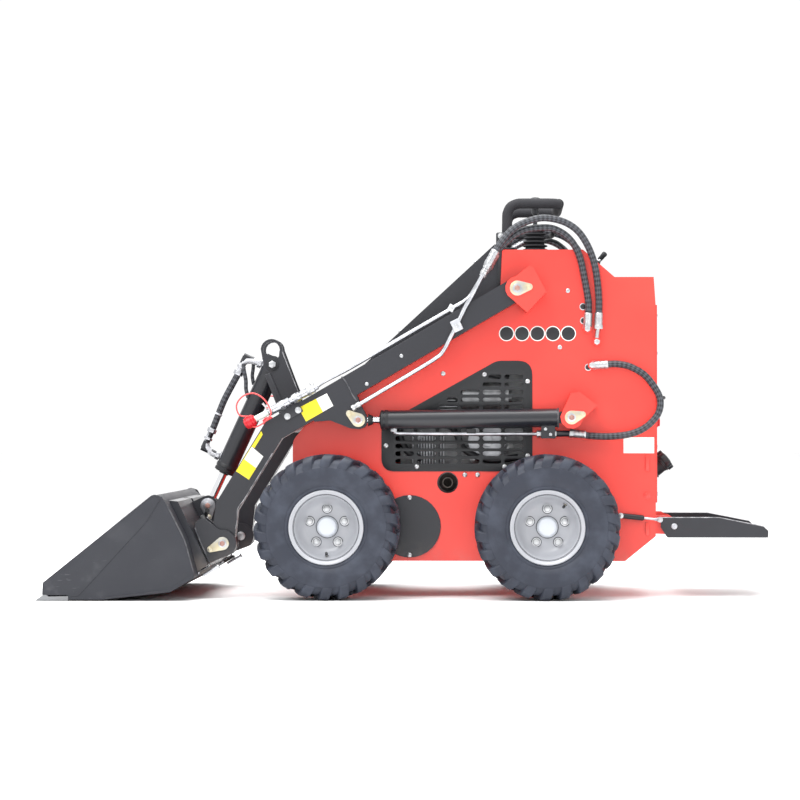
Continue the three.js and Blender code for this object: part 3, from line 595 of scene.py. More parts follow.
class LOADER_OT_finishes(bpy.types.Operator):
    """Make every finish and put one on each part of the frame"""

    bl_idname = "loader.finishes"
    bl_label = "Finishes"

    def execute(self, context):
        paint = paints()
        enamel("body_enamel", paint.body, paint.body_deep, paint.dust, 0.35, 0.30, 0.18)
        enamel("arm_enamel", paint.arms, [c * 0.8 for c in paint.arms], paint.dust, 0.15,
               0.38, 0.20)
        enamel("frame_enamel", (0.0085, 0.0095, 0.0125), (0.006, 0.007, 0.009), paint.dust,
               0.0, 0.46, 0.20)
        box_low, box_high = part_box("bucket")
        scraped("bucket_paint", (0.015, 0.0165, 0.0235), (0.10, 0.10, 0.11),
                (0.036, 0.038, 0.046), box_low.x + 0.30 * (box_high.x - box_low.x),
                box_high.x)
        scraped("cutting_steel", (0.20, 0.205, 0.215), (0.30, 0.30, 0.31),
                (0.13, 0.12, 0.11), box_low.x, box_high.x)
        rubber("tyre_rubber", paint.tyres, (0.062, 0.072, 0.098))
        enamel("hub_paint", (0.56, 0.59, 0.63), (0.52, 0.55, 0.60), paint.dust, 0.3, 0.34,
               0.12)
        enamel("silver_paint", paint.wheels, [c * 0.9 for c in paint.wheels], paint.dust,
               0.3, 0.34, 0.12)
        enamel("barrel_enamel", (0.012, 0.013, 0.018), (0.010, 0.011, 0.015), paint.dust,
               0.25, 0.31, 0.20)
        chrome("chromed_steel", (0.80, 0.81, 0.83))
        plated("zinc_plate", ZINC, (0.44, 0.45, 0.47), 0.27, 0.9)
        plated("passivated_zinc", WARM_ZINC, (0.50, 0.50, 0.47), 0.30, 0.9)
        plated("red_bolt", (0.34, 0.16, 0.14), (0.42, 0.26, 0.22), 0.36, 0.5)
        plated("bright_steel", (0.60, 0.61, 0.64), (0.44, 0.45, 0.48), 0.24, 0.95)
        # Pale steel for worn bolt heads, and for strips along plate edges that are worn paint
        # with a painted highlight.
        plated("worn_edge", (0.42, 0.42, 0.44), (0.14, 0.14, 0.15), 0.36, 0.6)
        plated("weld_bead", (0.060, 0.062, 0.070), (0.16, 0.16, 0.17), 0.42, 0.5)
        plated("pale_clamp", (0.58, 0.59, 0.62), (0.44, 0.45, 0.48), 0.34, 0.35)
        # A dark grey painted as shade round the rim's steps and joints and under the wheel nuts.
        plated("dark_seam", (0.075, 0.078, 0.088), (0.11, 0.115, 0.13), 0.5, 0.4)
        plated("cast_metal", (0.30, 0.31, 0.32), (0.20, 0.20, 0.21), 0.42, 0.7)
        plated("burnt_steel", (0.10, 0.085, 0.075), (0.05, 0.046, 0.044), 0.5, 0.7)
        sheathed("hose_sheath", (0.010, 0.011, 0.014), (0.085, 0.090, 0.105), 0.030, 5.0,
                 0.0006)
        moulded("grip_foam", (0.017, 0.018, 0.021), (0.026, 0.028, 0.032), 0.62, 500.0)
        moulded("black_plastic", (0.013, 0.014, 0.017), (0.021, 0.023, 0.027), 0.36, 700.0)
        moulded("red_cap", (0.62, 0.012, 0.022), (0.50, 0.010, 0.018), 0.28, 600.0)
        moulded("tether", (0.78, 0.10, 0.10), (0.68, 0.07, 0.07), 0.40, 600.0)
        moulded("mint_plastic", (0.62, 0.74, 0.68), (0.54, 0.66, 0.60), 0.32, 600.0)
        moulded("pale_film", (0.84, 0.83, 0.80), (0.76, 0.75, 0.72), 0.34, 700.0)
        moulded("yellow_film", YELLOW, (0.80, 0.66, 0.02), 0.32, 700.0)
        for material, starts in CARRIED_OVER.items():
            for name, part in frame["nodes"].items():
                if name.startswith(starts):
                    for place in part.material_slots:
                        place.material = bpy.data.materials[material]
        return {"FINISHED"}


# The finish of each part of the frame, by how its name starts.
CARRIED_OVER = {
    "body_enamel": ("side_plate", "chassis_tub", "rear_panel", "engine_hood"),
    "arm_enamel": ("boom_arm", "boom_crosstube", "attach_plate", "platform"),
    "barrel_enamel": ("lift_barrel", "tilt_barrel"),
    "frame_enamel": ("front_axle", "rear_axle", "console_top", "hand_bar", "drive_cover",
                     "grille"),
    "bucket_paint": ("bucket",),
    "chromed_steel": ("lift_rod", "tilt_rod"),
    "cast_metal": ("engine_block",),
    "burnt_steel": ("exhaust_pipe",),
    "black_plastic": ("filler_cap", "throttle_lever", "control_lever", "control_boot",
                      "platform_damper"),
    "hose_sheath": ("tilt_hose",),
    "bright_steel": ("aux_coupler",),
    "tyre_rubber": ("tyre_",),
    "silver_paint": ("rim_",),
}


# ---------------------------------------------------------------- camera and stage

class LOADER_OT_stage(bpy.types.Operator):
    """Set the camera, the soft studio light and the pale floor"""

    bl_idname = "loader.stage"
    bl_label = "Stage"

    def execute(self, context):
        scene = context.scene
        camera = bpy.data.objects.new("camera", bpy.data.cameras.new("camera"))
        camera.location = (-0.2916, 9.52, 0.534)
        looked_at = Vector((0.014, 0.52, 0.628))
        camera.rotation_euler = (looked_at - camera.location).to_track_quat(
            "-Z", "Y").to_euler()
        camera.data.lens = 129.8
        camera.data.sensor_width = 36.0
        scene.collection.objects.link(camera)
        scene.camera = camera

        lamps = (("key", (2.6, 4.2, 5.2), 4.0, 260), ("fill", (-4.4, 4.6, 3.0), 4.0, 60),
                 ("top", (0.0, 0.4, 5.2), 4.5, 330), ("rim", (0.5, -5.6, 3.8), 4.0, 160))
        for name, place, width, watts in lamps:
            lamp = bpy.data.objects.new(name, bpy.data.lights.new(name, "AREA"))
            lamp.data.size = width
            lamp.data.energy = watts
            lamp.location = place
            lamp.rotation_euler = (Vector((0, 0, 0.5)) - lamp.location).to_track_quat(
                "-Z", "Y").to_euler()
            lamp.visible_camera = False
            scene.collection.objects.link(lamp)

        world = bpy.data.worlds.new("studio")
        world.use_nodes = True
        sky = world.node_tree.nodes["Background"]
        sky.inputs["Color"].default_value = (1.0, 1.0, 1.0, 1.0)
        sky.inputs["Strength"].default_value = 1.05
        scene.world = world
        scene.view_settings.view_transform = "Standard"

        floor_finish = Finish("studio_floor")
        haze = floor_finish.noise(3.0, 2.0)
        floor_finish.worn(floor_finish.mixed(haze, (0.96, 0.96, 0.96), (0.95, 0.95, 0.95)),
                          haze * 0.05 + 0.6)
        shape = bmesh.new()
        bmesh.ops.create_circle(shape, cap_ends=True, segments=64, radius=60.0)
        floor = Piece("studio_floor_sheet").add(shape, "studio_floor").made(
            None, "red_paint")
        return {"FINISHED"}


# ---------------------------------------------------------------- hoses

# Route points (mm forward of the rear axle, left, up) of the hoses on the left side.
HOSE_ROUTES = {
    "boom_hose_outer": [
        (180, 372, 1070), (148.6, 366, 1124), (100.8, 352, 1178), (37, 336, 1205.5),
        (-10.9, 324, 1208.7), (-65, 314, 1194), (-106.6, 308, 1162), (-138.5, 303, 1108),
        (-157.6, 299, 1044), (-167, 295, 960), (-167.2, 294, 901)],
    "boom_hose_inner": [
        (180, 344, 1062), (148.6, 342, 1112), (84.8, 330, 1166), (5, 316, 1180),
        (-42.8, 307, 1168), (-81, 301, 1136), (-106.6, 297, 1086), (-122.5, 295, 1012.5),
        (-134, 294, 940), (-131.5, 294, 884), (-131, 294, 870.6)],
    "lift_hose": [
        (-158.5, 297, 741.5), (-175, 297, 742), (-205, 298, 745), (-235, 299, 744),
        (-270, 302, 735), (-313.9, 307, 708), (-350, 314, 660), (-362, 319, 623),
        (-352, 323, 582), (-314, 327, 543), (-266, 329, 522), (-202, 330, 514),
        (-138.5, 330, 516), (-105, 330, 522), (-86.5, 330, 522.7)],
}
# How far the last ferrule of each hose stands off the end of its sheath.
STAND_OFF = {"boom_hose_outer": 0.030, "boom_hose_inner": 0.0, "lift_hose": 0.0}


def run_length(line):
    """The length of a line of points."""
    return sum((b - a).length for a, b in zip(line, line[1:]))


def hose_fitting(point, direction, side):
    """A crimped ferrule with its swivel nut, from the end of a hose inwards."""
    shape = turned([(0, -4), (9.5, -4), (13.2, -1), (13.4, 10), (12.8, 12), (13.4, 14),
                    (13.4, 22), (12.8, 24), (13.4, 26), (13.4, 36), (12.2, 38), (0, 38)],
                   24)
    placed(shape, facing(point, direction))
    nut = drum(15.0, 13, 1.2, 6)
    placed(nut, facing(point - Vector(direction).normalized() * 0.014, direction))
    if side < 0:
        mirrored(shape)
        mirrored(nut)
    return shape, nut


class LOADER_OT_hoses(bpy.types.Operator):
    """Run the hydraulic hoses between the hull, the lift arms and the lift cylinders"""

    bl_idname = "loader.hoses"
    bl_label = "Hoses"

    def execute(self, context):
        radius = sizes().hose_diameter / 2
        for side, sign in SIDES:
            for route, points in HOSE_ROUTES.items():
                name = "%s_%s" % (route, side)
                line = smooth_line([at(u, sign * y, z) for u, y, z in points], 0.0085)
                piece = Piece(name + "_sheath")
                piece.add(pipe(line, radius, 16), "hose_sheath")
                hose = piece.made(None, "hose_rubber", (name,))
                if route == "lift_hose":
                    other, start = "lift_cylinder_" + side, at(-220, sign * 326, 620)
                    end = line[-1]
                else:
                    other, start, end = "boom", line[-1], line[0]
                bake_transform(hose)
                for where, (point, inward) in enumerate(
                        ((line[0], line[3] - line[0]), (line[-1], line[-4] - line[-1]))):
                    fitted = Piece("%s_fitting_%d" % (name, where))
                    flip = Vector((1, sign, 1))
                    if where:
                        point = point - inward.normalized() * STAND_OFF[route]
                    shell, nut = hose_fitting(point * flip, inward * flip, sign)
                    fitted.add(shell, "zinc_plate").add(nut, "zinc_plate")
                    if where and STAND_OFF[route]:
                        add_line(fitted, [(-165, 294, 862), (-162.5, 294, 846),
                                          (-161, 294, 830), (-161, 294, 818)], 6.5,
                                 "zinc_plate", sign)
                    on_hull = (where == 0) == (route == "lift_hose")
                    fitted.made("hull" if on_hull else other, "coupler_zinc")
                run_length(line)
        return {"FINISHED"}


# ---------------------------------------------------------------- wheels

# Tyre and rim sections as (radius, distance towards the outside) in mm.
CARCASS = [(112, -86), (117, -93), (124, -98), (130, -97), (133, -100), (150, -104.5),
           (170, -106), (188, -105), (190, -103), (198, -101), (207, -95), (213, -82),
           (215.5, -50), (216.5, 0), (215.5, 50), (213, 82), (207, 95), (198, 101),
           (190, 103), (188, 105), (170, 106), (150, 104.5), (133, 100), (130, 97),
           (124, 98), (117, 93), (112, 86), (112, 70), (150, 90), (195, 88), (205, 60),
           (205, -60), (195, -88), (150, -90), (112, -70)]
RIM = [(31, 22), (31, 8), (72, 8), (84, 20), (92, 30), (100, 52), (102, 74), (111.5, 88),
       (116, 91), (117.5, 94), (116, 97), (112, 96.5), (108.5, 90), (101, 80), (97, 74),
       (95.5, 60), (89, 44), (81, 34), (72, 27), (66, 25), (31, 25)]
HUB_CAP = [(0, 46), (20, 46), (25, 45), (29, 42.5), (31, 39), (31, 26), (34.5, 25),
           (34.5, 20), (0, 20)]
LIP = [(104, 90.5), (112, 96.5), (114, 98.2), (116.4, 97.8), (118, 94.5), (116.4, 91.5),
       (110, 90), (106, 88)]
BARREL = [(98, 70), (101, 76), (101, -76), (111, -88), (116, -91), (117, -95), (113, -97),
          (107, -90), (97, -78), (97, 68)]
NUT_CIRCLE = 58
# What stands on each wheel stud: radius, height, edge rounding, sides and finish.
# The thin dark disc under each washer and the dark hexagon under each nut are painted shade.
NUT_STACK = ((16.5, 1.0, 0.3, 32, "dark_seam"), (14.0, 2.5, 0.6, 32, "zinc_plate"),
             (11.4, 3.4, 0.4, 6, "dark_seam"), (10.0, 13, 1.4, 6, "zinc_plate"),
             (5.5, 18, 1.0, 20, "zinc_plate"))
VALVE_TURN = {"front": -90.0, "rear": 52.0}


def lug(place_angle, shoulder, depth, tyre_radius):
    """One tread bar, from the middle of the tread round onto the sidewall."""
    reach, root = 106 * MM, 12 * MM
    shape = block((106, 33, (depth + root) / MM), 3.0)
    for k in range(1, 9):
        bmesh.ops.bisect_plane(shape, geom=shape.verts[:] + shape.edges[:] + shape.faces[:],
                               plane_co=((k / 9 - 0.5) * reach, 0, 0), plane_no=(1, 0, 0))
    fold, rim = 0.62, 0.84      # where along its run a bar turns down, and is full wide
    for vert in shape.verts:
        run = vert.co.x / reach + 0.5
        lift = vert.co.z / (depth + root) + 0.5
        spread = 0.70 + 0.36 * run + 0.10 * (1 - lift)
        across = (4 + 101.5 * min(run / rim, 1.0) + 3.4 * max(run - rim, 0)) * MM
        drop = (0.42 * max(run - fold, 0.0) / (1 - fold)) ** 1.9 * 190 * MM
        if run > rim:
            across -= (1 - lift) * 9 * MM
        radius = tyre_radius - drop - (1 - lift) * (depth + root / 2)
        angle = place_angle + 0.17 * run ** 1.3 + vert.co.y * spread / tyre_radius
        vert.co = (radius * cos(angle), radius * sin(angle), across * shoulder)
    bmesh.ops.recalc_face_normals(shape, faces=shape.faces)
    return shape


class LOADER_OT_wheels(bpy.types.Operator):
    """Build the four treaded tyres and their stepped silver rims"""

    bl_idname = "loader.wheels"
    bl_label = "Wheels"

    def execute(self, context):
        low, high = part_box("tyre_front_left")
        tyre_radius = (high.z - low.z) / 2
        pitches = sizes().tread_pitches
        depth = sizes().tread_depth
        step = tau / pitches
        for end in ENDS:
            for side, sign in SIDES:
                wheel = "%s_%s" % (end, side)
                hub = facing(ANCHOR["wheel_%s_spin" % wheel], ACROSS * sign)
                tyre = Piece("treaded_tyre_" + wheel)
                tyre.add(turned(CARCASS, 96, True), "tyre_rubber", hub)
                for shoulder, shift in ((1, 0.0), (-1, 0.5)):
                    for k in range(pitches):
                        tyre.add(lug((k + shift) * step, shoulder, depth, tyre_radius),
                                 "tyre_rubber", hub)
                tyre.made("wheel_" + wheel, "tyre", ("tyre_" + wheel,), 40)

                rim = Piece("stepped_rim_" + wheel)
                for profile in (RIM, BARREL):
                    rim.add(turned(profile, 72, True), "silver_paint", hub)
                rim.add(turned(HUB_CAP, 48), "hub_paint", hub)
                rim.add(turned(LIP, 72, True), "silver_paint", hub)
                for k in range(5):
                    turn = Matrix.Rotation(pi / 2 + k * tau / 5, 4, "Z")
                    seat = hub @ turn @ Matrix.Translation((NUT_CIRCLE * MM, 0, 25 * MM))
                    for size, height, edge, sides, finish in NUT_STACK:
                        rim.add(drum(size, height, edge, sides), finish, seat)
                # Thin dark rings painted as shade where the rim's dish, wall and lip step and
                # meet, and round the hub cap.
                for inner, outer, out in ((73.5, 75.6, 27.4), (101.2, 103.4, 81.4),
                                          (33.4, 35.8, 25.2), (103.4, 105.0, 90.9)):
                    seam = [(inner, out - 3), (outer, out - 3), (outer, out + 0.7),
                            (inner, out + 0.7)]
                    rim.add(turned(seam, 72, True), "dark_seam", hub)
                turn = radians(VALVE_TURN[end])
                root = hub @ Matrix.Rotation(turn, 4, "Z") @ Matrix.Translation(
                    (94 * MM, 0, 44 * MM))
                lean = Matrix.Rotation(radians(-28), 4, "Y")
                rim.add(drum(6.5, 7, 1.5, 20), "tyre_rubber", root @ lean)
                rim.add(drum(3.6, 24, 0.8, 16), "passivated_zinc", root @ lean)
                rim.add(drum(4.6, 9, 1.0, 16), "black_plastic",
                        root @ lean @ Matrix.Translation((0, 0, 20 * MM)))
                rim.made("wheel_" + wheel, "wheel_silver", ("rim_" + wheel,), 30)
        return {"FINISHED"}


# ---------------------------------------------------------------- plates and weldments

# CAD nodes that are shown as a merged copy with rounded edges:
# node, its body, finish, slot, edge rounding in mm.
WELDMENTS = (
    [("side_plate_" + side, "hull", "body_enamel", "red_paint", 1.6) for side, _ in SIDES]
    + [("boom_arm_" + side, "boom", "arm_enamel", "dark_paint", 1.8) for side, _ in SIDES]
    + [("lift_barrel_" + side, "lift_cylinder_" + side, "barrel_enamel", "dark_paint", 1.2)
       for side, _ in SIDES]
    + [("lift_rod_" + side, "lift_piston_" + side, "chromed_steel", "chromed_rod", 0.8)
       for side, _ in SIDES]
    + [("drive_cover_" + side, "hull", "arm_enamel", "black_steel", 1.0)
       for side, _ in SIDES]
    + [("chassis_tub", "hull", "body_enamel", "red_paint", 1.2),
       ("rear_panel", "hull", "body_enamel", "red_paint", 1.2),
       ("engine_hood", "hood", "arm_enamel", "dark_paint", 2.0),
       ("console_top", "hull", "frame_enamel", "black_steel", 1.2),
       ("boom_crosstube", "boom", "arm_enamel", "dark_paint", 1.4),
       ("tilt_barrel", "tilt_cylinder", "barrel_enamel", "dark_paint", 1.2),
       ("tilt_rod", "tilt_piston", "chromed_steel", "chromed_rod", 0.8),
       ("attach_plate", "bucket_carrier", "arm_enamel", "dark_paint", 1.4),
       ("bucket", "bucket_carrier", "bucket_paint", "dark_paint", 1.4),
       ("platform", "operator_platform", "arm_enamel", "dark_paint", 1.0),
       ("exhaust_pipe", "hull", "burnt_steel", "exhaust_steel", 0.6),
       ("front_axle", "hull", "frame_enamel", "black_steel", 1.0),
       ("rear_axle", "hull", "frame_enamel", "black_steel", 1.0)])


def merged_copy(node, edge):
    """A CAD node's shape with its doubles merged, its flats joined and edges rounded."""
    shape = bmesh.new()
    shape.from_mesh(frame["nodes"][node].data)
    bmesh.ops.remove_doubles(shape, verts=shape.verts, dist=2e-6)
    bmesh.ops.dissolve_degenerate(shape, dist=2e-6, edges=shape.edges)
    bmesh.ops.dissolve_limit(shape, angle_limit=radians(0.4), verts=shape.verts,
                             edges=shape.edges)
    return bevelled(shape, edge, 2, 38)


class LOADER_OT_weldments(bpy.types.Operator):
    """Show the plates and weldments with rounded edges and their paint"""

    bl_idname = "loader.weldments"
    bl_label = "Plates and Weldments"

    def execute(self, context):
        for node, body, finish, slot, edge in WELDMENTS:
            piece = Piece(node + "_finished")
            shape = merged_copy(node, edge)
            if node == "bucket":
                # The doublers and the cutting edge stand on its cheeks.
                bmesh.ops.scale(shape, vec=(1, 0.9965, 1), verts=shape.verts)
            piece.add(shape, finish)
            piece.made(body, slot, (node,), 50, True)
        return {"FINISHED"}


# ---------------------------------------------------------------- hull dressing

SKIN = 280.3     # mm from the middle to what lies on the side plates
# The grille's corners, and the windows cut through it, as (mm forward, mm up).
GRILLE_FRONT, GRILLE_BEND, GRILLE_SLANT, GRILLE_TOP = 528, 550, 158, 756
GRILLE_OUTLINE = [(45, 402), (GRILLE_FRONT, 402), (GRILLE_FRONT, GRILLE_BEND),
                  (GRILLE_SLANT, GRILLE_TOP), (45, GRILLE_TOP)]
GRILLE_RADII = [42, 42, 34, 60, 46]
SLOT_PITCH, SLOT_RISE, SLOT_LENGTH, SLOT_HEIGHT = 70.0, 24.6, 60.0, 15.0
GRILLE_BOLTS = [(198, 712), (60, 690), (514, 484), (415, 417), (134, 417), (60, 452)]


def side_place(u, y, z):
    """A place on the left of the machine, whose X runs backwards and Y runs up."""
    return upright(u, y, z) @ Matrix(
        ((-1, 0, 0, 0), (0, 0, 1, 0), (0, 1, 0, 0), (0, 0, 0, 1)))


def side_sheet(outline, y, thickness, edge, holes=()):
    """A plate cut to a side outline in (mm forward, mm up), its inside face at y."""
    face, *windows = [[(-u, z) for u, z in loop] for loop in (outline, *holes)]
    return placed(sheet_of(face, thickness, edge, windows), side_place(0, y, 0))


def slot_loop(u, z, length, height):
    """A slot with round ends, about its own middle."""
    r = height / 2
    return [(u + end * (length / 2 - r) + r * cos(a), z + r * sin(a)) for end in (1, -1)
            for a in (radians(-90 * end + 36 * k) for k in range(6))]


def grille_slots():
    """The rows of slots that fit between the grille's frame and its slanted top."""
    loops = []
    for row in range(13):
        z = 434 + SLOT_RISE * row
        top = z + SLOT_HEIGHT / 2 + 24     # with the frame that stays over the slot
        if top > GRILLE_TOP - 8:
            break
        reach = GRILLE_FRONT - 30
        if top >= GRILLE_BEND:
            reach = GRILLE_FRONT - 8 - ((top - GRILLE_BEND) * (GRILLE_FRONT - GRILLE_SLANT)
                                        / (GRILLE_TOP - GRILLE_BEND))
        for column in range(6):
            low = 74 + SLOT_PITCH * column
            high = min(low + SLOT_LENGTH, reach)
            if high - low > 18:
                loops.append(slot_loop((low + high) / 2, z, high - low, SLOT_HEIGHT))
    return loops


def hex_bolt(across, height, washer=True):
    """A bolt head that stands on the XY plane, by default on its washer."""
    head = drum(across * ACROSS_CORNERS / 2, height, 0.9, 6)
    if not washer:
        return head
    whole = bmesh.new()
    poured(drum(across * 0.92, 1.6, 0.4, 24), whole)
    poured(placed(head, Matrix.Translation((0, 0, 1.4 * MM))), whole)
    return whole


def button_bolt(radius):
    """A low domed bolt head with a hexagon socket."""
    return turned([(0, 2.2), (radius * 0.34, 2.2), (radius * 0.38, 3.6),
                   (radius * 0.70, 3.2), (radius * 0.92, 2.0), (radius, 0.6), (radius, 0),
                   (0, 0)], 20)


def keeper_outline(lobe, big, small, turn):
    """A teardrop round a pin at the origin, with its lobe out at an angle."""
    turn, tangent = radians(turn), acos((big - small) / lobe)
    wide = [turn + tangent + (tau - 2 * tangent) * k / 20 for k in range(21)]
    narrow = [turn - tangent + 2 * tangent * k / 8 for k in range(9)]
    return ([(big * cos(a), big * sin(a)) for a in wide]
            + [(lobe * cos(turn) + small * cos(a), lobe * sin(turn) + small * sin(a))
               for a in narrow])


def add_keeper(piece, u, y, z, lobe, big, small, turn, side, face="passivated_zinc"):
    """A pin's keeper plate, the pin's bolt in its middle and a small bolt in its lobe."""
    outline = [(u + x, z + h) for x, h in keeper_outline(lobe, big, small, turn)]
    piece.add(side_sheet(outline, y, 4.0, 0.9), face, side=side)
    piece.add(drum(big * 0.62, 2.4, 0.6, 28), "bright_steel", side_place(u, y + 4, z), side)
    piece.add(hex_bolt(16, 6, False), "red_bolt", side_place(u, y + 6.2, z), side)
    piece.add(hex_bolt(9, 4), "passivated_zinc",
              side_place(u + lobe * cos(radians(turn)), y + 4,
                         z + lobe * sin(radians(turn))), side)


def add_weld(piece, points, side):
    """A weld bead along a line where two plates meet, with its ripples."""
    line = smooth_line(points, 0.005)
    bead = pipe(line, sizes().weld_width / 2, 8,
                lambda share: 1.0 + 0.12 * sin(share * len(line) * 2.1))
    piece.add(bead, "weld_bead", side=side)


class LOADER_OT_hull(bpy.types.Operator):
    """Fit the grilles, bolts, pin keepers, blank plates and oil fittings to the hull"""

    bl_idname = "loader.hull"
    bl_label = "Hull Fittings"

    def execute(self, context):
        domed = sizes().bolt_radius / MM
        for side, sign in SIDES:
            grille = Piece("slotted_grille_" + side)
            grille.add(side_sheet(rounded(GRILLE_OUTLINE, GRILLE_RADII), SKIN, 2.8, 0.7,
                                  grille_slots()), "frame_enamel", side=sign, smooth=False)
            for u, z in GRILLE_BOLTS:
                grille.add(button_bolt(domed), "zinc_plate", side_place(u, SKIN + 2.8, z),
                           sign)
            grille.made("hull", "black_steel", ("grille_" + side,))

            fittings = Piece("hull_fittings_" + side)
            for u, z in ((330, 715), (-69, 980), (-43, 799), (261, 391), (220, 391)):
                fittings.add(button_bolt(domed), "zinc_plate", side_place(u, SKIN - 0.4, z),
                             sign)
            for z in (318, 134):
                fittings.add(button_bolt(domed), "zinc_plate", side_place(438, SKIN + 4, z),
                             sign)
            for joint, lobe, big, small, turn in (("boom_lift", 38, 24, 11, 174),
                                                  ("lift_swing_left", 36, 22, 10, 164)):
                u, z = spot_of(joint)
                add_keeper(fittings, u, 376.2, z, lobe, big, small, turn, sign)
            for u, z in ((-161, 815.7), (-131, 857.1), (-145, 741.4)):
                fittings.add(drum(12.5, 3, 0.8, 32), "black_plastic",
                             side_place(u, SKIN - 0.2, z), sign)
                fittings.add(drum(10.5, 17, 1.4, 28), "zinc_plate", side_place(u, 287.0, z),
                             sign)
                fittings.add(hex_bolt(17, 6.5, False), "zinc_plate",
                             side_place(u, 303.8, z), sign)
            # Pale rings round black discs: each black disc is painted shade standing for an open
            # banjo hole.
            for u, z in ((-119, 884), (-134, 735), (-117, 929)):
                fittings.add(drum(11.5, 1.6, 0.5, 32), "zinc_plate",
                             side_place(u, SKIN - 0.3, z), sign)
                fittings.add(drum(8.5, 2.4, 0.5, 28), "black_plastic",
                             side_place(u, SKIN - 0.3, z), sign)
            fittings.add(hex_bolt(15, 6), "body_enamel", side_place(-322, SKIN - 0.4, 327),
                         sign)
            for low, high in ((403, 454), (198, 239)):
                rib = rounded([(-328, low), (-316, low), (-316, high), (-328, high)], 5)
                fittings.add(side_sheet(rib, SKIN - 0.3, 6.0, 1.8), "body_enamel",
                             side=sign)
            fittings.made("hull", "coupler_zinc")

            plates = Piece("blank_plates_" + side)
            plates.add(side_sheet(rounded([(-344, 511), (-246, 511), (-246, 460),
                                           (-344, 460)], 2), SKIN - 0.2, 0.8, 0.2),
                       "pale_film", side=sign)
            for k in range(5):
                u = 127.3 - 49.4 * k
                plates.add(side_sheet(disc_outline(u, 843, 24.3), SKIN - 0.2, 0.8, 0.2),
                           "pale_film", side=sign)
                plates.add(side_sheet(disc_outline(u, 843, 21.3), SKIN + 0.6, 0.5, 0.15),
                           "black_plastic", side=sign)
            plates.made("hull", "black_steel")
        return {"FINISHED"}


# ---------------------------------------------------------------- lift arms

ELBOW = (868.0, 533.6)
KNEE = (1018.0, 290.0)
ARM_FACE = 360.0     # mm from the middle to the outside of a lift arm
ARM_HALF = 36.0      # mm, half the depth of an arm
OUTER_LINE = [(180.5, 372, 1069), (198.8, 371, 1035), (217, 370.1, 1001),
              (239.5, 366.6, 958), (262, 364.6, 918), (284, 366.6, 872), (306, 366.6, 828),
              (328, 366.6, 786), (352, 366.6, 762), (430, 366.6, 714), (592, 366.6, 618)]
INNER_LINE = [(181, 344, 1061), (204.5, 344.5, 1023), (228, 345, 985), (243, 346, 961),
              (262, 346, 944), (300, 346, 921.5), (484, 346, 815), (624, 346, 733),
              (706, 356, 690), (736, 374, 667)]
LINE_CLAMPS = [(286, 866, -64), (303, 922, -30)]
UPPER_FILM = [(789, 605), (699, 651), (678, 611), (765, 561)]
LOWER_FILM = [(938, 481), (986, 402), (947, 376), (901, 450)]
EDGE_FILM = [(908, 531), (941.5, 478.5), (988.5, 403), (986.5, 401.5), (937, 480),
             (929, 477), (903, 520)]


def direction_of(start, end):
    """The side-view direction from one (forward, up) point to another."""
    return Vector((end[0] - start[0], 0, end[1] - start[1])).normalized()


def along(origin, way, distance, above=0.0):
    """A point (forward, up): mm along a way from an origin, and mm above that way."""
    return (origin[0] + way.x * distance - way.z * above,
            origin[1] + way.z * distance + way.x * above)


def along_beam(distance, above):
    """A point (forward, up) of the upper arm: mm ahead of its elbow, mm above it."""
    return along(ELBOW, direction_of(spot_of("boom_lift"), ELBOW), distance, above)


def along_forearm(distance, rearward):
    """A point (forward, up) of the forearm: mm below the elbow, mm behind its middle."""
    return along(ELBOW, direction_of(ELBOW, KNEE), distance, -rearward)


def split_film(outline, share):
    """The two parts of a four-cornered film, cut across at a share of its length."""
    a, b, c, d = (Vector(corner) for corner in outline)
    upper, lower = a.lerp(b, share), d.lerp(c, share)
    return ([tuple(p) for p in (a, upper, lower, d)],
            [tuple(p) for p in (upper, b, c, lower)])


def stepped(*steps):
    """The profile of a turned fitting from (radius, length) steps."""
    points, height = [(0, 0)], 0
    for radius, length in steps:
        chamfer = min(1.2, length * 0.2)
        points += [(radius - chamfer, height), (radius, height + chamfer),
                   (radius, height + length - chamfer), (radius - chamfer, height + length)]
        height += length
    return points + [(0, height)]


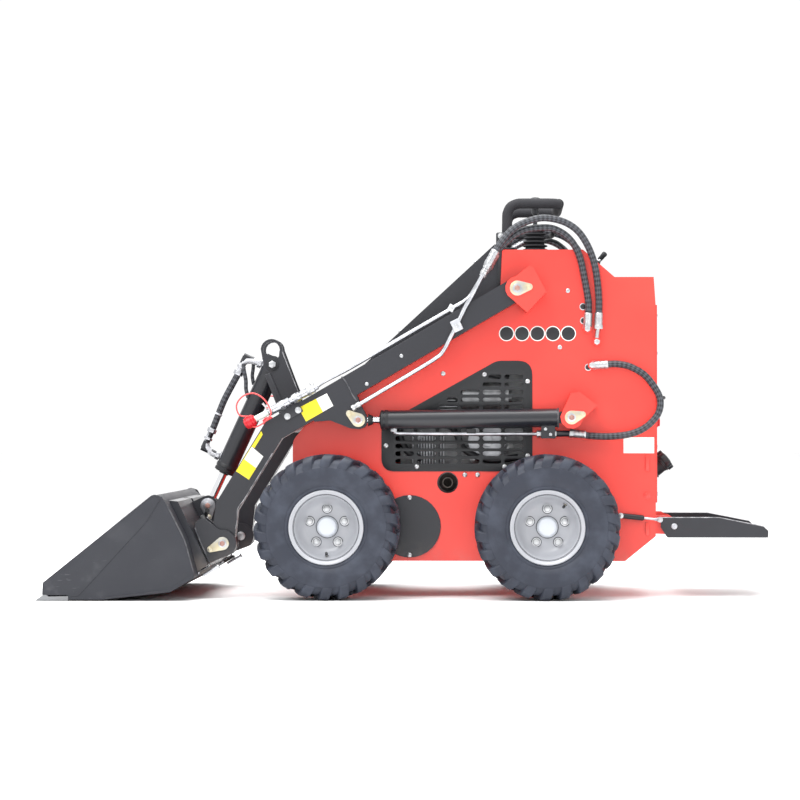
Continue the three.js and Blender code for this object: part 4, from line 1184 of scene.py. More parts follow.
class LOADER_OT_arms(bpy.types.Operator):
    """Fit the lift arms with steel lines, clamps, keepers, blank films and welds"""

    bl_idname = "loader.arms"
    bl_label = "Arm Fittings"

    def execute(self, context):
        radius = sizes().line_diameter / MM / 2
        eye_u, eye_z = rod_pin("lift_rod_left", 24)
        knuckle_u, knuckle_z = spot_of("bucket_tilt")
        for side, sign in SIDES:
            lines = Piece("steel_lines_" + side)
            for points in (OUTER_LINE, INNER_LINE):
                add_line(lines, points, radius, "bright_steel", sign)
                top, under = at(*points[0]), at(*points[1])
                lines.add(drum(14, 16, 1.6, 6), "zinc_plate", facing(top, under - top),
                          sign)
                lines.add(turned(stepped((11.5, 26), (9.5, 8), (11, 12)), 28), "zinc_plate",
                          facing(top, under - top), sign)
            for u, z, lean in LINE_CLAMPS:
                y = 366.6 if z < 900 else 350
                seat = side_place(u, y, z) @ Matrix.Rotation(radians(lean), 4, "Z")
                lines.add(block((38, 30, 19) if z < 900 else (20, 22, 22), 2.5),
                          "pale_clamp", seat, sign)
                lines.add(hex_bolt(10, 4, False), "zinc_plate",
                          seat @ Matrix.Translation((0, 0, 9.5 * MM)), sign)
            last = at(*OUTER_LINE[-1])
            lines.add(turned(stepped((9.5, 14), (8, 5), (10, 12)), 24), "zinc_plate",
                      facing(last, last - at(*OUTER_LINE[-2])), sign)
            lines.made("boom", "chromed_rod")

            fitted = Piece("arm_fittings_" + side)
            add_keeper(fitted, eye_u, ARM_FACE + 0.3, eye_z, 36, 22, 10, 36, sign)
            for u, z in (along_beam(-470, 0), along_beam(-330, -22)):
                fitted.add(button_bolt(6.5), "zinc_plate", side_place(u, ARM_FACE - 0.2, z),
                           sign)
            add_line(fitted, [(u, ARM_FACE + 0.4, z) for u, z in (
                (652, 704), (640, 690), (628, 668), (617, 646), (604, 627))], 2.4,
                "weld_bead", sign, 0.004, 10)
            fitted.made("boom", "coupler_zinc")

            edges = Piece("arm_edges_" + side)
            # A pale strip along the forearm's rear edge: worn paint, with a painted highlight
            # where the edge faces up and back into the light.
            rear_edge = [along_forearm(d, ARM_HALF - 1) for d in (64, 120, 180, 240)]
            rear_edge += [(982.5, 284), (985, 246), (990, 218)]
            add_line(edges, [(u, ARM_FACE - 0.8, z) for u, z in rear_edge], 1.7,
                     "worn_edge", sign, 0.008, 8)
            upper_edge = [along_beam(d, ARM_HALF - 0.8) for d in (-700, -450, -200, -30)]
            add_line(edges, [(u, ARM_FACE - 0.8, z) for u, z in upper_edge], 1.0,
                     "arm_enamel", sign, 0.02, 8)
            edges.made("boom", "dark_paint")

            films = Piece("blank_films_" + side)
            for outline, share, colours in (
                    (UPPER_FILM, 0.62, ("yellow_film", "pale_film")),
                    (LOWER_FILM, 0.50, ("pale_film", "yellow_film"))):
                for part, colour in zip(split_film(outline, share), colours):
                    films.add(side_sheet(part, ARM_FACE - 0.2, 0.7, 0.15), colour,
                              side=sign)
            films.add(side_sheet(EDGE_FILM, ARM_FACE - 0.2, 0.6, 0.15), "yellow_film",
                      side=sign)
            films.made("boom", "dark_paint")

            knuckles = Piece("knuckle_keeper_" + side)
            add_keeper(knuckles, knuckle_u, 374.4, knuckle_z, 44, 21, 9.5, -25, sign)
            knuckles.made("bucket_carrier", "coupler_zinc")
        return {"FINISHED"}


# The dust cap's tether, as mm along the coupler, above it and out from it.
TETHER = [(232, 16, 8), (258, 34, 10), (252, 66, 12), (222, 82, 13), (188, 76, 13),
          (168, 50, 14), (162, 18, 16), (168, -10, 15), (196, -22, 12), (226, -24, 10),
          (240, -16, 6)]


class LOADER_OT_couplers(bpy.types.Operator):
    """Fit the quick couplers with their nuts, sleeves, dust caps and tethers"""

    bl_idname = "loader.couplers"
    bl_label = "Quick Couplers"

    def execute(self, context):
        y = 377.0
        start, tip = along_beam(-188, 49), along_beam(56, 60.5)
        way = direction_of(start, tip)

        def spot(distance, above=0.0, out=0.0):
            """A point (forward, left, up) of the coupler, mm along, above and out."""
            u, z = along(start, way, distance, above)
            return (u, y + out, z)

        for side, sign in SIDES:
            piece = Piece("quick_coupler_" + side)
            for distance, steps, finish in (
                    (-4, ((9, 12), (13, 20), (10, 6), (12.5, 22), (10.5, 4), (14, 26)),
                     "bright_steel"),
                    (84, ((9.5, 14), (13.5, 24), (11, 6), (13.5, 30), (10.5, 18)),
                     "bright_steel"),
                    (170, ((10.5, 8), (9.8, 50)), "mint_plastic"),
                    (220, ((15, 5), (19.6, 8), (20.2, 16), (18, 6), (11, 3)), "red_cap")):
                piece.add(turned(stepped(*steps), 32), finish,
                          facing(at(*spot(distance)), way), sign)
            for distance, across, length in ((22, 15.5, 13), (70, 16.5, 12), (116, 16, 15),
                                             (158, 15, 11)):
                piece.add(drum(across, length, 1.6, 6), "zinc_plate",
                          facing(at(*spot(distance)), way, 0.3), sign)
            add_line(piece, [spot(168), spot(172, 18), spot(176, 34)], 3.6, "zinc_plate",
                     sign)
            add_line(piece, [spot(10), spot(10, 10), spot(10, 20, -4)], 6.0, "zinc_plate",
                     sign)
            add_line(piece, [spot(*place) for place in TETHER], 2.4, "tether", sign, 0.006,
                     8)
            add_line(piece, [spot(170, 13, 4), spot(170, 16, 4)], 3.0, "tether", sign,
                     0.004, 8)
            bracket = rounded([along_beam(-112, 4), along_beam(-48, 4), along_beam(-48, 45),
                               along_beam(-112, 45)], 5)
            piece.add(side_sheet(bracket, ARM_FACE + 0.2, 5.5, 1.0), "arm_enamel",
                      side=sign)
            for distance in (-100, -60):
                u, z = along_beam(distance, 16)
                piece.add(hex_bolt(11, 5), "zinc_plate", side_place(u, ARM_FACE + 5.7, z),
                          sign)
            piece.made("boom", "coupler_zinc", ("aux_coupler_" + side,))
        return {"FINISHED"}


# ---------------------------------------------------------------- cylinders

TILT_BASE = spot_of("tilt_swing")


def rod_pin(rod, eye):
    """A rod's pin (forward, up), from its box and its eye's radius in mm."""
    low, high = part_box(rod)
    return (u_of(high) - eye, low.z / MM + eye)


def tilt_pin():
    """The tilt rod's pin (forward, up)."""
    return rod_pin("tilt_rod", 22)


def tilt_across(distance, ahead):
    """A point (forward, up): mm down the tilt cylinder, mm in front of its middle."""
    return along(TILT_BASE, direction_of(TILT_BASE, tilt_pin()), distance, ahead)


def add_tube(piece, points, radius, finish, y=0.0, side=1, spacing=0.005):
    """A round tube through (forward, up) points that all lie y mm to the left."""
    add_line(piece, [(u, y, z) for u, z in points], radius, finish, side, spacing, 16)


def lying(place, way, y=0.0):
    """The place of a fitting that lies along a way, from a (forward, up) point."""
    return facing(at(place[0], y, place[1]), way)


def add_nut(piece, place, way, across, length, y, side, finish="zinc_plate"):
    """A hexagon nut of the given size along a side-view direction."""
    piece.add(drum(across * ACROSS_CORNERS / 2, length, 1.3, 6), finish,
              lying(place, way, y), side)


class LOADER_OT_cylinders(bpy.types.Operator):
    """Fit the cylinders with gland nuts, oil lines, elbows and their hoses"""

    bl_idname = "loader.cylinders"
    bl_label = "Cylinder Fittings"

    def execute(self, context):
        base, pin = spot_of("lift_swing_left"), rod_pin("lift_rod_left", 24)
        way, y = direction_of(base, pin), 330.0
        length = (Vector(pin) - Vector(base)).length
        for side, sign in SIDES:
            piece = Piece("lift_cylinder_fittings_" + side)
            gland = turned((
                (13, -2), (30.6, -2), (31.4, 0), (31.4, 9), (29.4, 10), (29.4, 13),
                (31.2, 14), (31.2, 21), (26, 24), (15.5, 24), (15.5, 27), (13, 27)), 48)
            place = lying(along(base, way, length - 93), way, y)
            piece.add(gland, "frame_enamel", place, sign)
            place = lying(along(base, way, 42), way, y)
            piece.add(turned(((29.5, -3), (31.5, -2), (32.4, 0), (31.5, 2), (29.5, 3)), 48,
                             True), "weld_bead", place, sign)
            port = along(base, way, length - 112, -24)
            add_tube(piece, [port, (port[0], 531), (port[0] - 8, 524.5),
                             (port[0] - 30, 523.8), (port[0] - 190, 522.8), (30, 521.6),
                             (12, 521.6)], 5.2, "bright_steel", y, sign, 0.008)
            add_nut(piece, (port[0], 528), UP, 20, 13, y, sign)
            add_nut(piece, (16, 521.6), FORWARD, 21, 16, y, sign)
            add_nut(piece, (-31, 522.7), FORWARD, 24, 14, y, sign)
            piece.add(block((30, 14, 26), 2.5), "frame_enamel", side_place(240, y, 531),
                      sign)
            for u, z in ((-12, 520), (4, 537)):
                piece.add(hex_bolt(10, 5, False), "zinc_plate", side_place(u, y + 17, z),
                          sign)
            piece.made("lift_cylinder_" + side, "coupler_zinc")

            eye = Piece("lift_rod_wiper_" + side)
            place = lying(along(base, way, length - 30), way, y)
            eye.add(turned(((12, -16), (14.5, -14), (17, -6), (20, 0), (12, 0)), 40),
                    "frame_enamel", place, sign)
            eye.made("lift_piston_" + side, "black_steel")

        tilt_way = direction_of(TILT_BASE, tilt_pin())
        tilt_length = (Vector(tilt_pin()) - Vector(TILT_BASE)).length
        top, foot = 14, tilt_length - 164
        fittings = Piece("tilt_elbows")
        elbow = [tilt_across(top, 30), tilt_across(top, 52), tilt_across(top + 6, 78),
                 tilt_across(top + 18, 92), tilt_across(top + 36, 95),
                 tilt_across(top + 58, 95)]
        add_tube(fittings, elbow, 11.4, "pale_clamp")
        lower = [tilt_across(foot, 30), tilt_across(foot + 3, 60),
                 tilt_across(foot - 6, 84), tilt_across(foot - 24, 95),
                 tilt_across(foot - 70, 95)]
        add_tube(fittings, lower, 10.6, "pale_clamp")
        ahead = Vector((-tilt_way.z, 0, tilt_way.x))
        for distance, reach, turn, size, run in (
                (top, 36, ahead, 30, 14), (foot, 36, ahead, 29, 14),
                (top + 52, 95, tilt_way, 29, 15), (foot - 72, 95, tilt_way, 28, 15),
                (top + 32, 95, tilt_way, 27, 9), (foot - 40, 95, tilt_way, 26, 9)):
            add_nut(fittings, tilt_across(distance, reach), turn, size, run, 0, 1,
                    "bright_steel")
        fittings.add(turned((
            (13.5, 0), (34.6, 0), (35.6, 2), (35.6, 12), (33.4, 13), (33.4, 16),
            (35.2, 17), (35.2, 26), (29, 29), (16, 29), (16, 33), (13.5, 33)), 48),
            "frame_enamel", lying(tilt_across(tilt_length - 148, 0), tilt_way))
        add_tube(fittings, [tilt_across(38, 92), tilt_across(56, 82), tilt_across(84, 62),
                            tilt_across(112, 48), tilt_across(134, 30)], 6.5, "hose_sheath",
                 14)
        add_tube(fittings, [tilt_across(20, 66), tilt_across(40, 58), tilt_across(64, 50),
                            tilt_across(88, 34)], 6.0, "hose_sheath", -14)
        fittings.add(drum(14.5, 6, 1.2, 28), "pale_clamp",
                     lying(tilt_across(222, 99), tilt_way))
        fittings.made("tilt_cylinder", "coupler_zinc")

        start, end = top + 56, foot - 68
        route = [tilt_across(start, 95), tilt_across(start + 14, 95),
                 tilt_across(start + 60, 98), tilt_across((start + end) / 2, 100),
                 tilt_across(end - 60, 98), tilt_across(end - 14, 95), tilt_across(end, 95)]
        line = smooth_line([at(u, 0, z) for u, z in route], 0.006)
        sheath = Piece("tilt_hose_sheath")
        sheath.add(pipe(line, sizes().hose_diameter / 2, 16), "hose_sheath")
        hose = sheath.made("tilt_cylinder", "hose_rubber", ("tilt_hose",))
        run_length(line)

        tower = Piece("tower_fittings")
        spine = [(903, 722), (921, 716), (868, 580), (846, 588)]
        for sign in (1, -1):
            tower.add(side_sheet(rounded(spine, 3), 55.6, 9, 1.6), "arm_enamel", side=sign)
            # A pale strip down the spine's edge: worn paint with a painted highlight.
            add_line(tower, [(864, 55, 792), (838, 55, 726), (806, 55, 648)], 1.5,
                     "worn_edge", sign, 0.01, 8)
            u, z = TILT_BASE
            tower.add(drum(22, 3, 0.9, 32), "frame_enamel", side_place(u, 55.8, z), sign)
            tower.add(hex_bolt(22, 8, False), "zinc_plate", side_place(u, 58.8, z), sign)
            foot_line = [at(845 + 31 * cos(radians(a)) - 8, 50, 556 + 31 * sin(radians(a)))
                         for a in range(20, 160, 20)]
            add_weld(tower, foot_line, sign)
        tower.made("boom", "dark_paint")
        return {"FINISHED"}


# ---------------------------------------------------------------- bucket and its carrier

# The bucket's cheek: its bright front doubler, as (mm forward, mm up).
DOUBLER = [(1575, 25), (1573, 55), (1246, 315), (1226, 325), (1209, 317), (1254, 246),
           (1466, 15), (1560, 13)]
CHEEK_REAR = [(1218, 322), (1196, 307.5), (1165, 250), (1135.4, 190), (1120, 138),
              (1105.6, 86)]


class LOADER_OT_bucket(bpy.types.Operator):
    """Fit the bucket's cutting edge, doublers and welds, and its carrier's latches"""

    bl_idname = "loader.bucket"
    bl_label = "Bucket and Carrier"

    def execute(self, context):
        _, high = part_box("bucket")
        tip, half = u_of(high), high.y / MM
        edge = Piece("cutting_edge")
        edge.add(side_sheet([(tip - 104, 1.2), (tip, 1.2), (tip - 25, 18.9),
                             (tip - 104, 18.9)], -half, 2 * half, 0.7), "cutting_steel")
        for k in range(6):
            y = -half + 90 + k * (2 * half - 180) / 5
            edge.add(turned([(0, 0), (13, 0), (11, 5), (7, 7.5), (0, 8)], 24), "worn_edge",
                     facing(at(tip - 72, y, 18.2), UP))
        edge.made("bucket_carrier", "dark_paint")

        dressing = Piece("bucket_doublers")
        for sign in (1, -1):
            dressing.add(side_sheet(rounded(DOUBLER, 6), half - 2.1, 2.1, 0.7),
                         "bucket_paint", side=sign)
            wear = [(1105, 72), (1150, 44), (1178, 28), (1395, 3.5), (1395, 10), (1183, 38),
                    (1156, 53), (1106, 86)]
            dressing.add(side_sheet(wear, half - 2.1, 2.1, 0.6), "bucket_paint", side=sign)
            add_weld(dressing, [at(u, half - 9, z) for u, z in CHEEK_REAR], sign)
            add_weld(dressing, [at(u, half - 11.5, z) for u, z in
                                ((1232, 316), (1200, 296), (1160, 214), (1137, 152),
                                 (1128, 92), (1172, 56), (1300, 30), (1480, 23))],
                     sign)
        dressing.made("bucket_carrier", "dark_paint")

        carrier = Piece("carrier_fittings")
        pin_u, pin_z = tilt_pin()
        pivot_u, pivot_z = spot_of("bucket_tilt")
        for sign in (1, -1):
            add_keeper(carrier, pin_u, 34.2, pin_z, 38, 24.5, 10, -96, sign, "bright_steel")
            carrier.add(drum(14.5, 3.0, 0.8, 32), "zinc_plate",
                        side_place(pivot_u, 281.4, pivot_z), sign)
            for y, u in ((392, 1118), (406, 1088)):
                line = [at(u, y, 74), at(u - 22, y, 87), at(u - 46, y, 101)]
                carrier.add(pipe(line, 4.6 * MM, 16), "bright_steel", side=sign)
                carrier.add(turned([(0, 0), (8, 0), (8, 5), (0, 5)], 20), "zinc_plate",
                            facing(line[-1], line[1] - line[0]), sign)
            guide = [(1060, 96), (1096, 76), (1100, 84), (1064, 105)]
            carrier.add(side_sheet(guide, 383, 30, 1.5), "arm_enamel", side=sign)
            for y in (300, 374):
                add_weld(carrier, [at(u, y, z) for u, z in (
                    (1071, 113), (1092, 158), (1109, 200), (1118, 224))], sign)
            handle = [at(1120, 200, 240), at(1108, 202, 252), at(1098, 206, 264),
                      at(1094, 214, 272), at(1093, 232, 275)]
            carrier.add(pipe(smooth_line(handle, 0.006), 7 * MM, 16), "frame_enamel",
                        side=sign)
            carrier.add(drum(19, 16, 2, 32), "frame_enamel",
                        facing(at(1112, 200, 238), (-0.9, 0, 0.42)), sign)
            carrier.add(hex_bolt(17, 8), "zinc_plate",
                        facing(at(1099, 200, 244.5), (-0.9, 0, 0.42)), sign)
        carrier.made("bucket_carrier", "coupler_zinc")
        return {"FINISHED"}


# ---------------------------------------------------------------- engine bay and hood

class LOADER_OT_engine(bpy.types.Operator):
    """Fill the engine bay behind the grilles and fit the hood's louvres and seals"""

    bl_idname = "loader.engine"
    bl_label = "Engine Bay and Hood"

    def execute(self, context):
        _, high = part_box("engine_block")
        face = high.y / MM
        for side, sign in SIDES:
            engine = Piece("engine_details_" + side)
            for k in range(12):
                engine.add(block((4, 96, 40), 1.0, 1), "bright_steel",
                           side_place(330 + 9 * k, face + 12, 470), sign)
            engine.add(turned(stepped((20, 10), (44, 150), (34, 12), (12, 10)), 40),
                       "cast_metal", facing(at(110, face + 42, 640), FORWARD), sign)
            engine.add(turned(stepped((62, 12), (48, 8), (62, 12), (20, 10)), 40),
                       "bright_steel", side_place(190, face + 2, 500), sign)
            engine.add(turned(stepped((34, 12), (26, 6), (34, 12), (12, 8)), 32),
                       "cast_metal", side_place(262, face + 6, 580), sign)
            for k in range(9):
                engine.add(block((118, 3.5, 34), 0.8, 1), "bright_steel",
                           side_place(330, face + 18, 590 + 10 * k), sign)
            for points in ([(90, 448), (180, 438), (260, 470), (300, 540), (360, 560)],
                           [(120, 700), (200, 716), (280, 690), (300, 640)],
                           [(400, 440), (450, 470), (470, 540), (420, 600)]):
                add_line(engine, [(u, face + 52, z) for u, z in points], 11,
                         "black_plastic", sign, 0.012)
            for u, z in ((150, 560), (230, 440), (410, 520), (300, 660), (120, 480)):
                engine.add(hex_bolt(17, 9), "zinc_plate", side_place(u, face + 2, z), sign)
            engine.made("hull", "black_steel")

            seal = Piece("hood_seal_" + side)
            seal.add(side_sheet([(139.5, 1110), (152, 1112), (157, 988), (143.5, 984)], 258,
                                17, 1.0), "black_plastic", side=sign)
            seal.made("hull", "black_steel")

        crown = high.z / MM
        top = Piece("engine_top")
        fan = at(300, 40, crown)
        top.add(turned(stepped((128, 14), (120, 52), (104, 8), (66, 10)), 56),
                "black_plastic", Matrix.Translation(fan))
        for k in range(14):
            turn = Matrix.Rotation(tau * k / 14, 4, "Z")
            top.add(block((34, 7, 8), 1.5), "frame_enamel",
                    Matrix.Translation(fan + Vector((0, 0, 75 * MM))) @ turn
                    @ Matrix.Translation((82 * MM, 0, 0)))
        top.add(turned(stepped((24, 8), (18, 8)), 32), "bright_steel",
                Matrix.Translation(fan + Vector((0, 0, 82 * MM))))
        top.add(turned(stepped((52, 16), (56, 10), (52, 150), (56, 10), (48, 12)), 48),
                "black_plastic", facing(at(140, -60, crown + 74), ACROSS))
        for y in (-20, 90):
            top.add(turned(((52, 0), (54.5, 0), (54.5, 12), (52, 12)), 48, True),
                    "zinc_plate", facing(at(140, y, crown + 74), ACROSS))
        top.add(block((150, 96, 92), 6, 3), "black_plastic", upright(170, -130, crown + 46))
        for u, colour in ((120, "red_cap"), (220, "cast_metal")):
            top.add(turned(stepped((13, 8), (8, 12)), 24), colour,
                    upright(u, -130, crown + 92))
        top.add(block((84, 120, 44), 8, 3), "cast_metal", upright(300, -122, crown + 22))
        for u in (272, 300, 328):
            top.add(block((8, 112, 12), 2), "bright_steel", upright(u, -122, crown + 47))
        top.add(turned(stepped((20, 14), (26, 12), (22, 4)), 32), "yellow_film",
                upright(392, -120, crown))
        for u in (90, 240, 380, 450):
            for y in (-176, 176):
                top.add(hex_bolt(15, 8), "zinc_plate", upright(u, y, crown))
        for points, wide in (
                ([(160, 104, 80), (190, 130, 90), (240, 140, 70), (262, 120, 50)], 17),
                ([(120, -120, 98), (100, -60, 150), (96, 40, 130), (100, 120, 60),
                  (100, 150, 4)], 6),
                ([(420, 20, 40), (452, 60, 60), (456, 120, 40), (440, 160, 4)], 11)):
            add_line(top, [(u, y, crown + z) for u, y, z in points], wide, "black_plastic",
                     1, 0.01, 16)
        top.made("hull", "black_steel")

        hinge_u, hinge_z = spot_of("hood_open")
        foot = Vector((hinge_u - 6, hinge_z + 14))
        head = Vector((166, 1130))
        slope = direction_of(foot, head)
        rise = Vector((slope.z, 0, -slope.x))
        louvres = Piece("hood_louvres")
        for k in range(9):
            middle = foot.lerp(head, 0.30 + 0.055 * k)
            place = (Matrix.Translation(at(middle.x, 0, middle.y) - rise * 2.4 * MM)
                     @ UP.rotation_difference(rise).to_matrix().to_4x4())
            louvres.add(block((22, 330, 12), 4.0, 3), "arm_enamel", place)
        for y in (-236, 236):
            for share in (0.12, 0.5, 0.9):
                middle = foot.lerp(head, share)
                louvres.add(button_bolt(7), "zinc_plate",
                            facing(at(middle.x, y, middle.y) + rise * 1.5 * MM, rise))
        louvres.made("hood", "dark_paint")
        return {"FINISHED"}


# ---------------------------------------------------------------- controls

CONSOLE = 1112.0         # mm, the console's top
BAR_FRONT, BAR_REAR, BAR_TOP, BAR_HALF, BAR_BEND = 125.0, -42.0, 1266.0, 200.0, 45.0


def bend(start, corner, end):
    """Three points of the curve that turns a tube's corner."""
    a, b, c = Vector(start), Vector(corner), Vector(end)
    return [tuple(a.lerp(b, t).lerp(b.lerp(c, t), t)) for t in (0.15, 0.5, 0.85)]


def bar_half(side):
    """Half of the hand bar's line, from its foot to the middle of its grip."""
    y = BAR_HALF * side
    near = (BAR_FRONT, y, BAR_TOP - BAR_BEND)
    top = (BAR_FRONT - BAR_BEND, y, BAR_TOP)
    back = (BAR_REAR + BAR_BEND, y, BAR_TOP)
    turn = (BAR_REAR, y - BAR_BEND * side, BAR_TOP)
    return ([(BAR_FRONT, y, CONSOLE + 1), (BAR_FRONT, y, CONSOLE + 60), near]
            + bend(near, (BAR_FRONT, y, BAR_TOP), top) + [top, back]
            + bend(back, (BAR_REAR, y, BAR_TOP), turn) + [turn])


class LOADER_OT_controls(bpy.types.Operator):
    """Fit the hand bar, the joystick with its bellows, the throttle and the gauges"""

    bl_idname = "loader.controls"
    bl_label = "Controls"

    def execute(self, context):
        grip = sizes().grip_diameter / MM / 2
        bar = Piece("hand_bar_foam")
        left, right = bar_half(1), bar_half(-1)
        add_line(bar, left + right[::-1], grip, "grip_foam", 1, 0.007, 24)
        for sign in (1, -1):
            bar.add(block((42, 52, 10), 2.0), "frame_enamel",
                    upright(119.5, BAR_HALF * sign, CONSOLE + 5.2))
            for u, y in ((106, 219), (106, 181), (135, 219)):
                bar.add(hex_bolt(10, 5), "zinc_plate", upright(u, y, CONSOLE + 10), sign)
            bar.add(block((50, 42, 46), 6.0, 3), "black_plastic",
                    upright(136, BAR_HALF, CONSOLE + 37), sign)
            for z in (CONSOLE + 26, CONSOLE + 48):
                bar.add(hex_bolt(10, 6), "zinc_plate", side_place(146, BAR_HALF + 21, z),
                        sign)
            bar.add(turned(stepped((6.5, 8), (5, 4), (6.5, 16), (4, 8)), 20),
                    "bright_steel", facing(at(104, 222, CONSOLE + 10), (-0.86, 0, 0.5)),
                    sign)
        rear = [(BAR_FRONT - 6, BAR_HALF, CONSOLE + 74), (60, BAR_HALF, CONSOLE + 74),
                (10, BAR_HALF, CONSOLE + 74), (-14, 192, CONSOLE + 74),
                (-25, 168, CONSOLE + 74), (-27, 120, CONSOLE + 74), (-27, 0, CONSOLE + 74)]
        add_line(bar, rear + [(u, -y, z) for u, y, z in rear[-2::-1]], 8.5, "grip_foam", 1,
                 0.007, 20)
        bar.made("hull", "grip_foam", ("hand_bar",))

        low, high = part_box("control_boot")
        root = Vector(((low.x + high.x) / 2, 0, low.z))
        boot = Piece("joystick_bellows")
        profile = [(0, 0), (44, 0), (44, 5), (41, 8)]
        for ring in range(6):
            wide, foot = 42.5 - 1.5 * ring, 9 + 13 * ring
            profile += [(wide - 10, foot), (wide - 8.5, foot + 2), (wide - 2, foot + 4.2),
                        (wide, foot + 6.2), (wide - 0.6, foot + 8), (wide - 8, foot + 11)]
        profile += [(22, 88), (13, 91.5), (0, 91.8)]
        boot.add(turned(profile, 48), "grip_foam", Matrix.Translation(root))
        boot.add(turned(((36, 0.2), (43.6, 0.2), (43.8, 1.5), (43, 3.5), (36, 4)), 48,
                        True), "frame_enamel", Matrix.Translation(root))
        boot.made("hull", "grip_foam", ("control_boot",))

        stick = Piece("joystick_grip")
        stick.add(turned((
            (0, 92.4), (7, 92.4), (7, 132), (11, 134), (12.5, 140), (12, 148), (15, 153),
            (20.5, 160), (22.5, 169), (22, 178), (18.5, 185), (11, 189.3), (0, 190)), 48),
            "black_plastic", Matrix.Translation(root))
        stick.add(turned(((0, 189), (7, 189), (7, 190.6), (5.6, 191.2), (0, 191.2)), 28),
                  "frame_enamel", Matrix.Translation(root - Vector((0, 0, 1.3 * MM))))
        stick.made("hull", "grip_foam", ("control_lever",))

        lever = Piece("throttle_knob")
        root_u, root_z, y = -160.0, CONSOLE - 37.2, -90.0
        up = (-0.657, 0, 0.754)
        lever.add(turned(stepped((14, 3), (12, 4)), 32), "frame_enamel",
                  facing(at(root_u, y, root_z), up))
        lever.add(turned((
            (0, 6), (11, 6), (8, 11), (9.5, 13), (6.5, 17), (7.5, 19), (4, 23), (0, 23)),
            28), "black_plastic", facing(at(root_u, y, root_z), up))
        lever.add(pipe(smooth_line([at(u, y, z) for u, z in (
            (-164, 1081), (-172, 1090), (-182, 1100), (-190, 1108))], 0.004), 4 * MM, 14),
            "bright_steel")
        lever.add(turned((
            (0, 0), (6.5, 0), (8, 3), (8.5, 20), (9.6, 26), (8.6, 31), (4, 33.4),
            (0, 33.6)), 32), "black_plastic", facing(at(-182, y, 1099.5), up))
        lever.made("hull", "black_steel", ("throttle_lever",))

        console = Piece("console_gauges")
        slope = (-0.657, 0, 0.754)
        for y, size in ((60, 26), (120, 19), (0, 15)):
            middle = at(-165, y, CONSOLE - 41.4)
            console.add(turned((
                (0, 1.2), (size - 3, 1.2), (size - 2, 4.5), (size, 4.5), (size + 1, 2),
                (size + 1, 0), (0, 0)), 40), "black_plastic", facing(middle, slope))
            console.add(drum(size - 3, 1.8, 0.4, 40), "frame_enamel",
                        facing(middle + Vector(slope) * 0.4 * MM, slope))
            console.add(block((1.6, size - 6, 1.0), 0.3, 1), "red_cap",
                        facing(middle + Vector(slope) * 2.6 * MM, slope, 0.7)
                        @ Matrix.Translation((0, (size - 6) * 0.3 * MM, 0)))
        for k in range(4):
            spot = at(-165, 175 + 20 * k, CONSOLE - 41.4)
            console.add(drum(7, 8, 1.4, 24), "black_plastic", facing(spot, slope))
            console.add(block((4, 9, 10), 1.2), "zinc_plate",
                        facing(spot + Vector(slope) * 10 * MM, slope, 0.4 * k))
        add_line(console, [(6, -34, 1158), (-18, -38, 1163), (-44, -42, 1155),
                           (-66, -46, 1134), (-76, -48, 1112)], 5, "black_plastic", 1,
                 0.006)
        for y in (-150, 150):
            for u in (60, -80):
                console.add(button_bolt(6.5), "zinc_plate", upright(u, y, CONSOLE - 0.3))
        console.made("hull", "black_steel")
        return {"FINISHED"}


# ---------------------------------------------------------------- rear and platform

FILLER_UP = Vector((-0.78, 0, 0.62)).normalized()


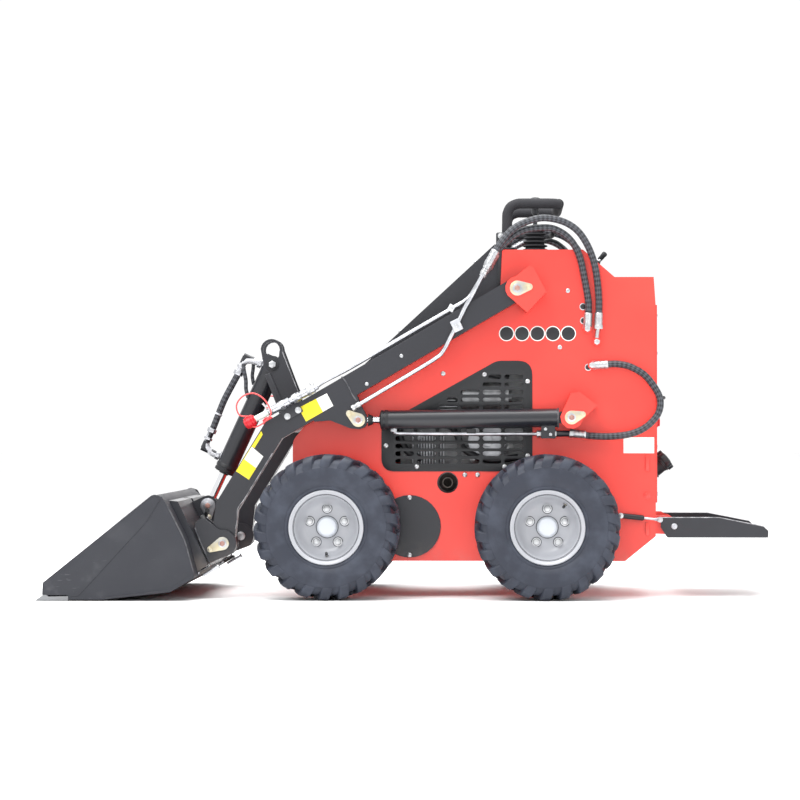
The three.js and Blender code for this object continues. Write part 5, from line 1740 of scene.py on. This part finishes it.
class LOADER_OT_platform(bpy.types.Operator):
    """Fit the filler cap, rear panel, dampers, treads and bolts round the platform"""

    bl_idname = "loader.platform"
    bl_label = "Rear and Platform"

    def execute(self, context):
        mouth = at(-350, 0, 400)
        cap = Piece("star_filler_cap")
        star = []
        for k in range(60):
            turn = tau * k / 60
            reach = 29.5 + 7.2 * max(cos(5 * turn), -0.35)
            star.append((reach * cos(turn), reach * sin(turn)))
        seat = facing(mouth + FILLER_UP * 40.4 * MM, FILLER_UP)
        cap.add(sheet_of(star, 19, 3.2, (), 3), "black_plastic",
                seat @ Matrix.Translation((0, 0, 7 * MM)))
        cap.add(turned(stepped((31, 7)), 40), "black_plastic", seat)
        cap.add(turned(((0, 0), (19, 0), (18, 2), (11, 3.4), (0, 3.6)), 32), "frame_enamel",
                seat @ Matrix.Translation((0, 0, 25.6 * MM)))
        cap.made("hull", "black_steel", ("filler_cap",))

        rear = Piece("rear_panel_fittings")
        rear.add(turned((
            (26.2, 3), (31, 3), (31, 6), (27.6, 9), (27.6, 36), (29, 38), (29, 40),
            (26.2, 40)), 40, True), "black_plastic", facing(mouth, FILLER_UP))
        back = (-1, 0, 0)
        face = -354.2
        for y in (-240, 240):
            for z in (330, 480, 630, 780, 900):
                rear.add(button_bolt(7), "zinc_plate", facing(at(face, y, z), back))
        for y in (-80, 80):
            rear.add(button_bolt(7), "zinc_plate", facing(at(face, y, 900), back))
        for k in range(7):
            rear.add(block((7, 300, 11), 3.0, 3), "body_enamel",
                     upright(face, 0, 800 + 14 * k - 44))
        for sign in (1, -1):
            rear.add(turned(stepped((17, 6), (14, 6)), 36), "red_cap",
                     facing(at(face, 205, 560), back), sign)
        pull = [at(face, y, z) + Vector((-d * MM, 0, 0)) for y, z, d in (
            (-60, 640, 0), (-60, 640, 24), (-46, 640, 34), (46, 640, 34), (60, 640, 24),
            (60, 640, 0))]
        rear.add(pipe(smooth_line(pull, 0.006), 6 * MM, 16), "black_plastic")
        rear.made("hull", "coupler_zinc")

        for side, sign in SIDES:
            damper = Piece("gas_damper_" + side)
            front, end = Vector((-237, 261)), Vector((-362, 248))
            way = direction_of(front, end)
            seam = front.lerp(end, 0.56)
            damper.add(turned(stepped((5, 6), (8.6, 66), (7, 3)), 28), "black_plastic",
                       lying(front, way, 292), sign)
            damper.add(turned(stepped((4, 46)), 20), "bright_steel", lying(seam, way, 292),
                       sign)
            damper.add(turned(stepped((5, 8), (6.8, 14)), 24), "pale_clamp",
                       lying(front.lerp(end, 0.86), way, 292), sign)
            for spot, inner in ((front, 280.4), (end, 263.0)):
                damper.add(drum(5.4, 300 - inner, 0.8, 24), "zinc_plate",
                           side_place(spot.x, inner, spot.y), sign)
                damper.add(turned(((0, -8), (7, -7.6), (9, -3), (9, 3), (7, 7), (0, 8)),
                                  28), "pale_clamp", side_place(spot.x, 292, spot.y), sign)
                damper.add(hex_bolt(9, 4), "zinc_plate", side_place(spot.x, 299, spot.y),
                           sign)
            damper.made("hull", "black_steel", ("platform_damper_" + side,))

        pivot = spot_of("platform_fold")
        deck = Piece("platform_fittings")
        for sign in (1, -1):
            deck.add(turned(((0, 0), (10, 0), (10, 1.2), (9, 3.4), (6, 5), (0, 5.6)), 28),
                     "pale_clamp", side_place(pivot[0], 261.8, pivot[1]), sign)
            # Pale strips along the deck's crests: worn paint with a painted highlight.
            crest = [(pivot[0] + 42, pivot[1] + 28.4), (pivot[0] - 143, pivot[1] + 28.4),
                     (pivot[0] - 284, pivot[1] + 0.6)]
            for first, second in zip(crest, crest[1:]):
                add_line(deck, [(first[0], 261.2, first[1]),
                                ((first[0] + second[0]) / 2, 261.2,
                                 (first[1] + second[1]) / 2),
                                (second[0], 261.2, second[1])], 1.5, "worn_edge", sign,
                         0.02, 8)
            add_weld(deck, [at(u, 252.6, pivot[1] - 28)
                            for u in (pivot[0] - 40, pivot[0] - 150, pivot[0] - 290)], sign)
        for row in range(9):
            for column in range(17):
                u = pivot[0] - 58 - 28 * row
                y = -232 + 29 * column
                lean = 0.8 if (row + column) % 2 else -0.8
                deck.add(block((20, 5, 2.6), 1.0, 1), "arm_enamel",
                         upright(u, y, pivot[1] - 29.6) @ Matrix.Rotation(lean, 4, "Z"))
        deck.made("operator_platform", "dark_paint")
        return {"FINISHED"}


# ---------------------------------------------------------------- the add-on

OPERATORS = (LOADER_OT_finishes, LOADER_OT_stage, LOADER_OT_hoses, LOADER_OT_wheels,
             LOADER_OT_weldments, LOADER_OT_hull, LOADER_OT_engine, LOADER_OT_arms,
             LOADER_OT_couplers, LOADER_OT_cylinders, LOADER_OT_bucket, LOADER_OT_controls,
             LOADER_OT_platform)


class LOADER_PT_panel(bpy.types.Panel):
    """The loader's pieces, in the order they are built"""

    bl_idname = "LOADER_PT_panel"
    bl_label = "Mini Skid Steer Loader"
    bl_space_type = "VIEW_3D"
    bl_region_type = "UI"
    bl_category = "Loader"

    def draw(self, context):
        for settings in (context.scene.loader_paints, context.scene.loader_sizes):
            box = self.layout.box()
            for name in settings.__annotations__:
                box.prop(settings, name)
        for operator in OPERATORS:
            self.layout.operator(operator.bl_idname)


CLASSES = (LoaderPaints, LoaderSizes, *OPERATORS, LOADER_PT_panel)


def register():
    """Adds the settings, operators and panel to Blender."""
    for kind in CLASSES:
        bpy.utils.register_class(kind)
    bpy.types.Scene.loader_paints = PointerProperty(type=LoaderPaints)
    bpy.types.Scene.loader_sizes = PointerProperty(type=LoaderSizes)


def unregister():
    """Takes them all out again."""
    del bpy.types.Scene.loader_sizes
    del bpy.types.Scene.loader_paints
    for kind in reversed(CLASSES):
        bpy.utils.unregister_class(kind)


def main():
    """Builds every piece in order."""
    register()
    for operator in OPERATORS:
        getattr(bpy.ops.loader, operator.bl_idname.split(".")[1])()


if __name__ == "__main__":
    main()
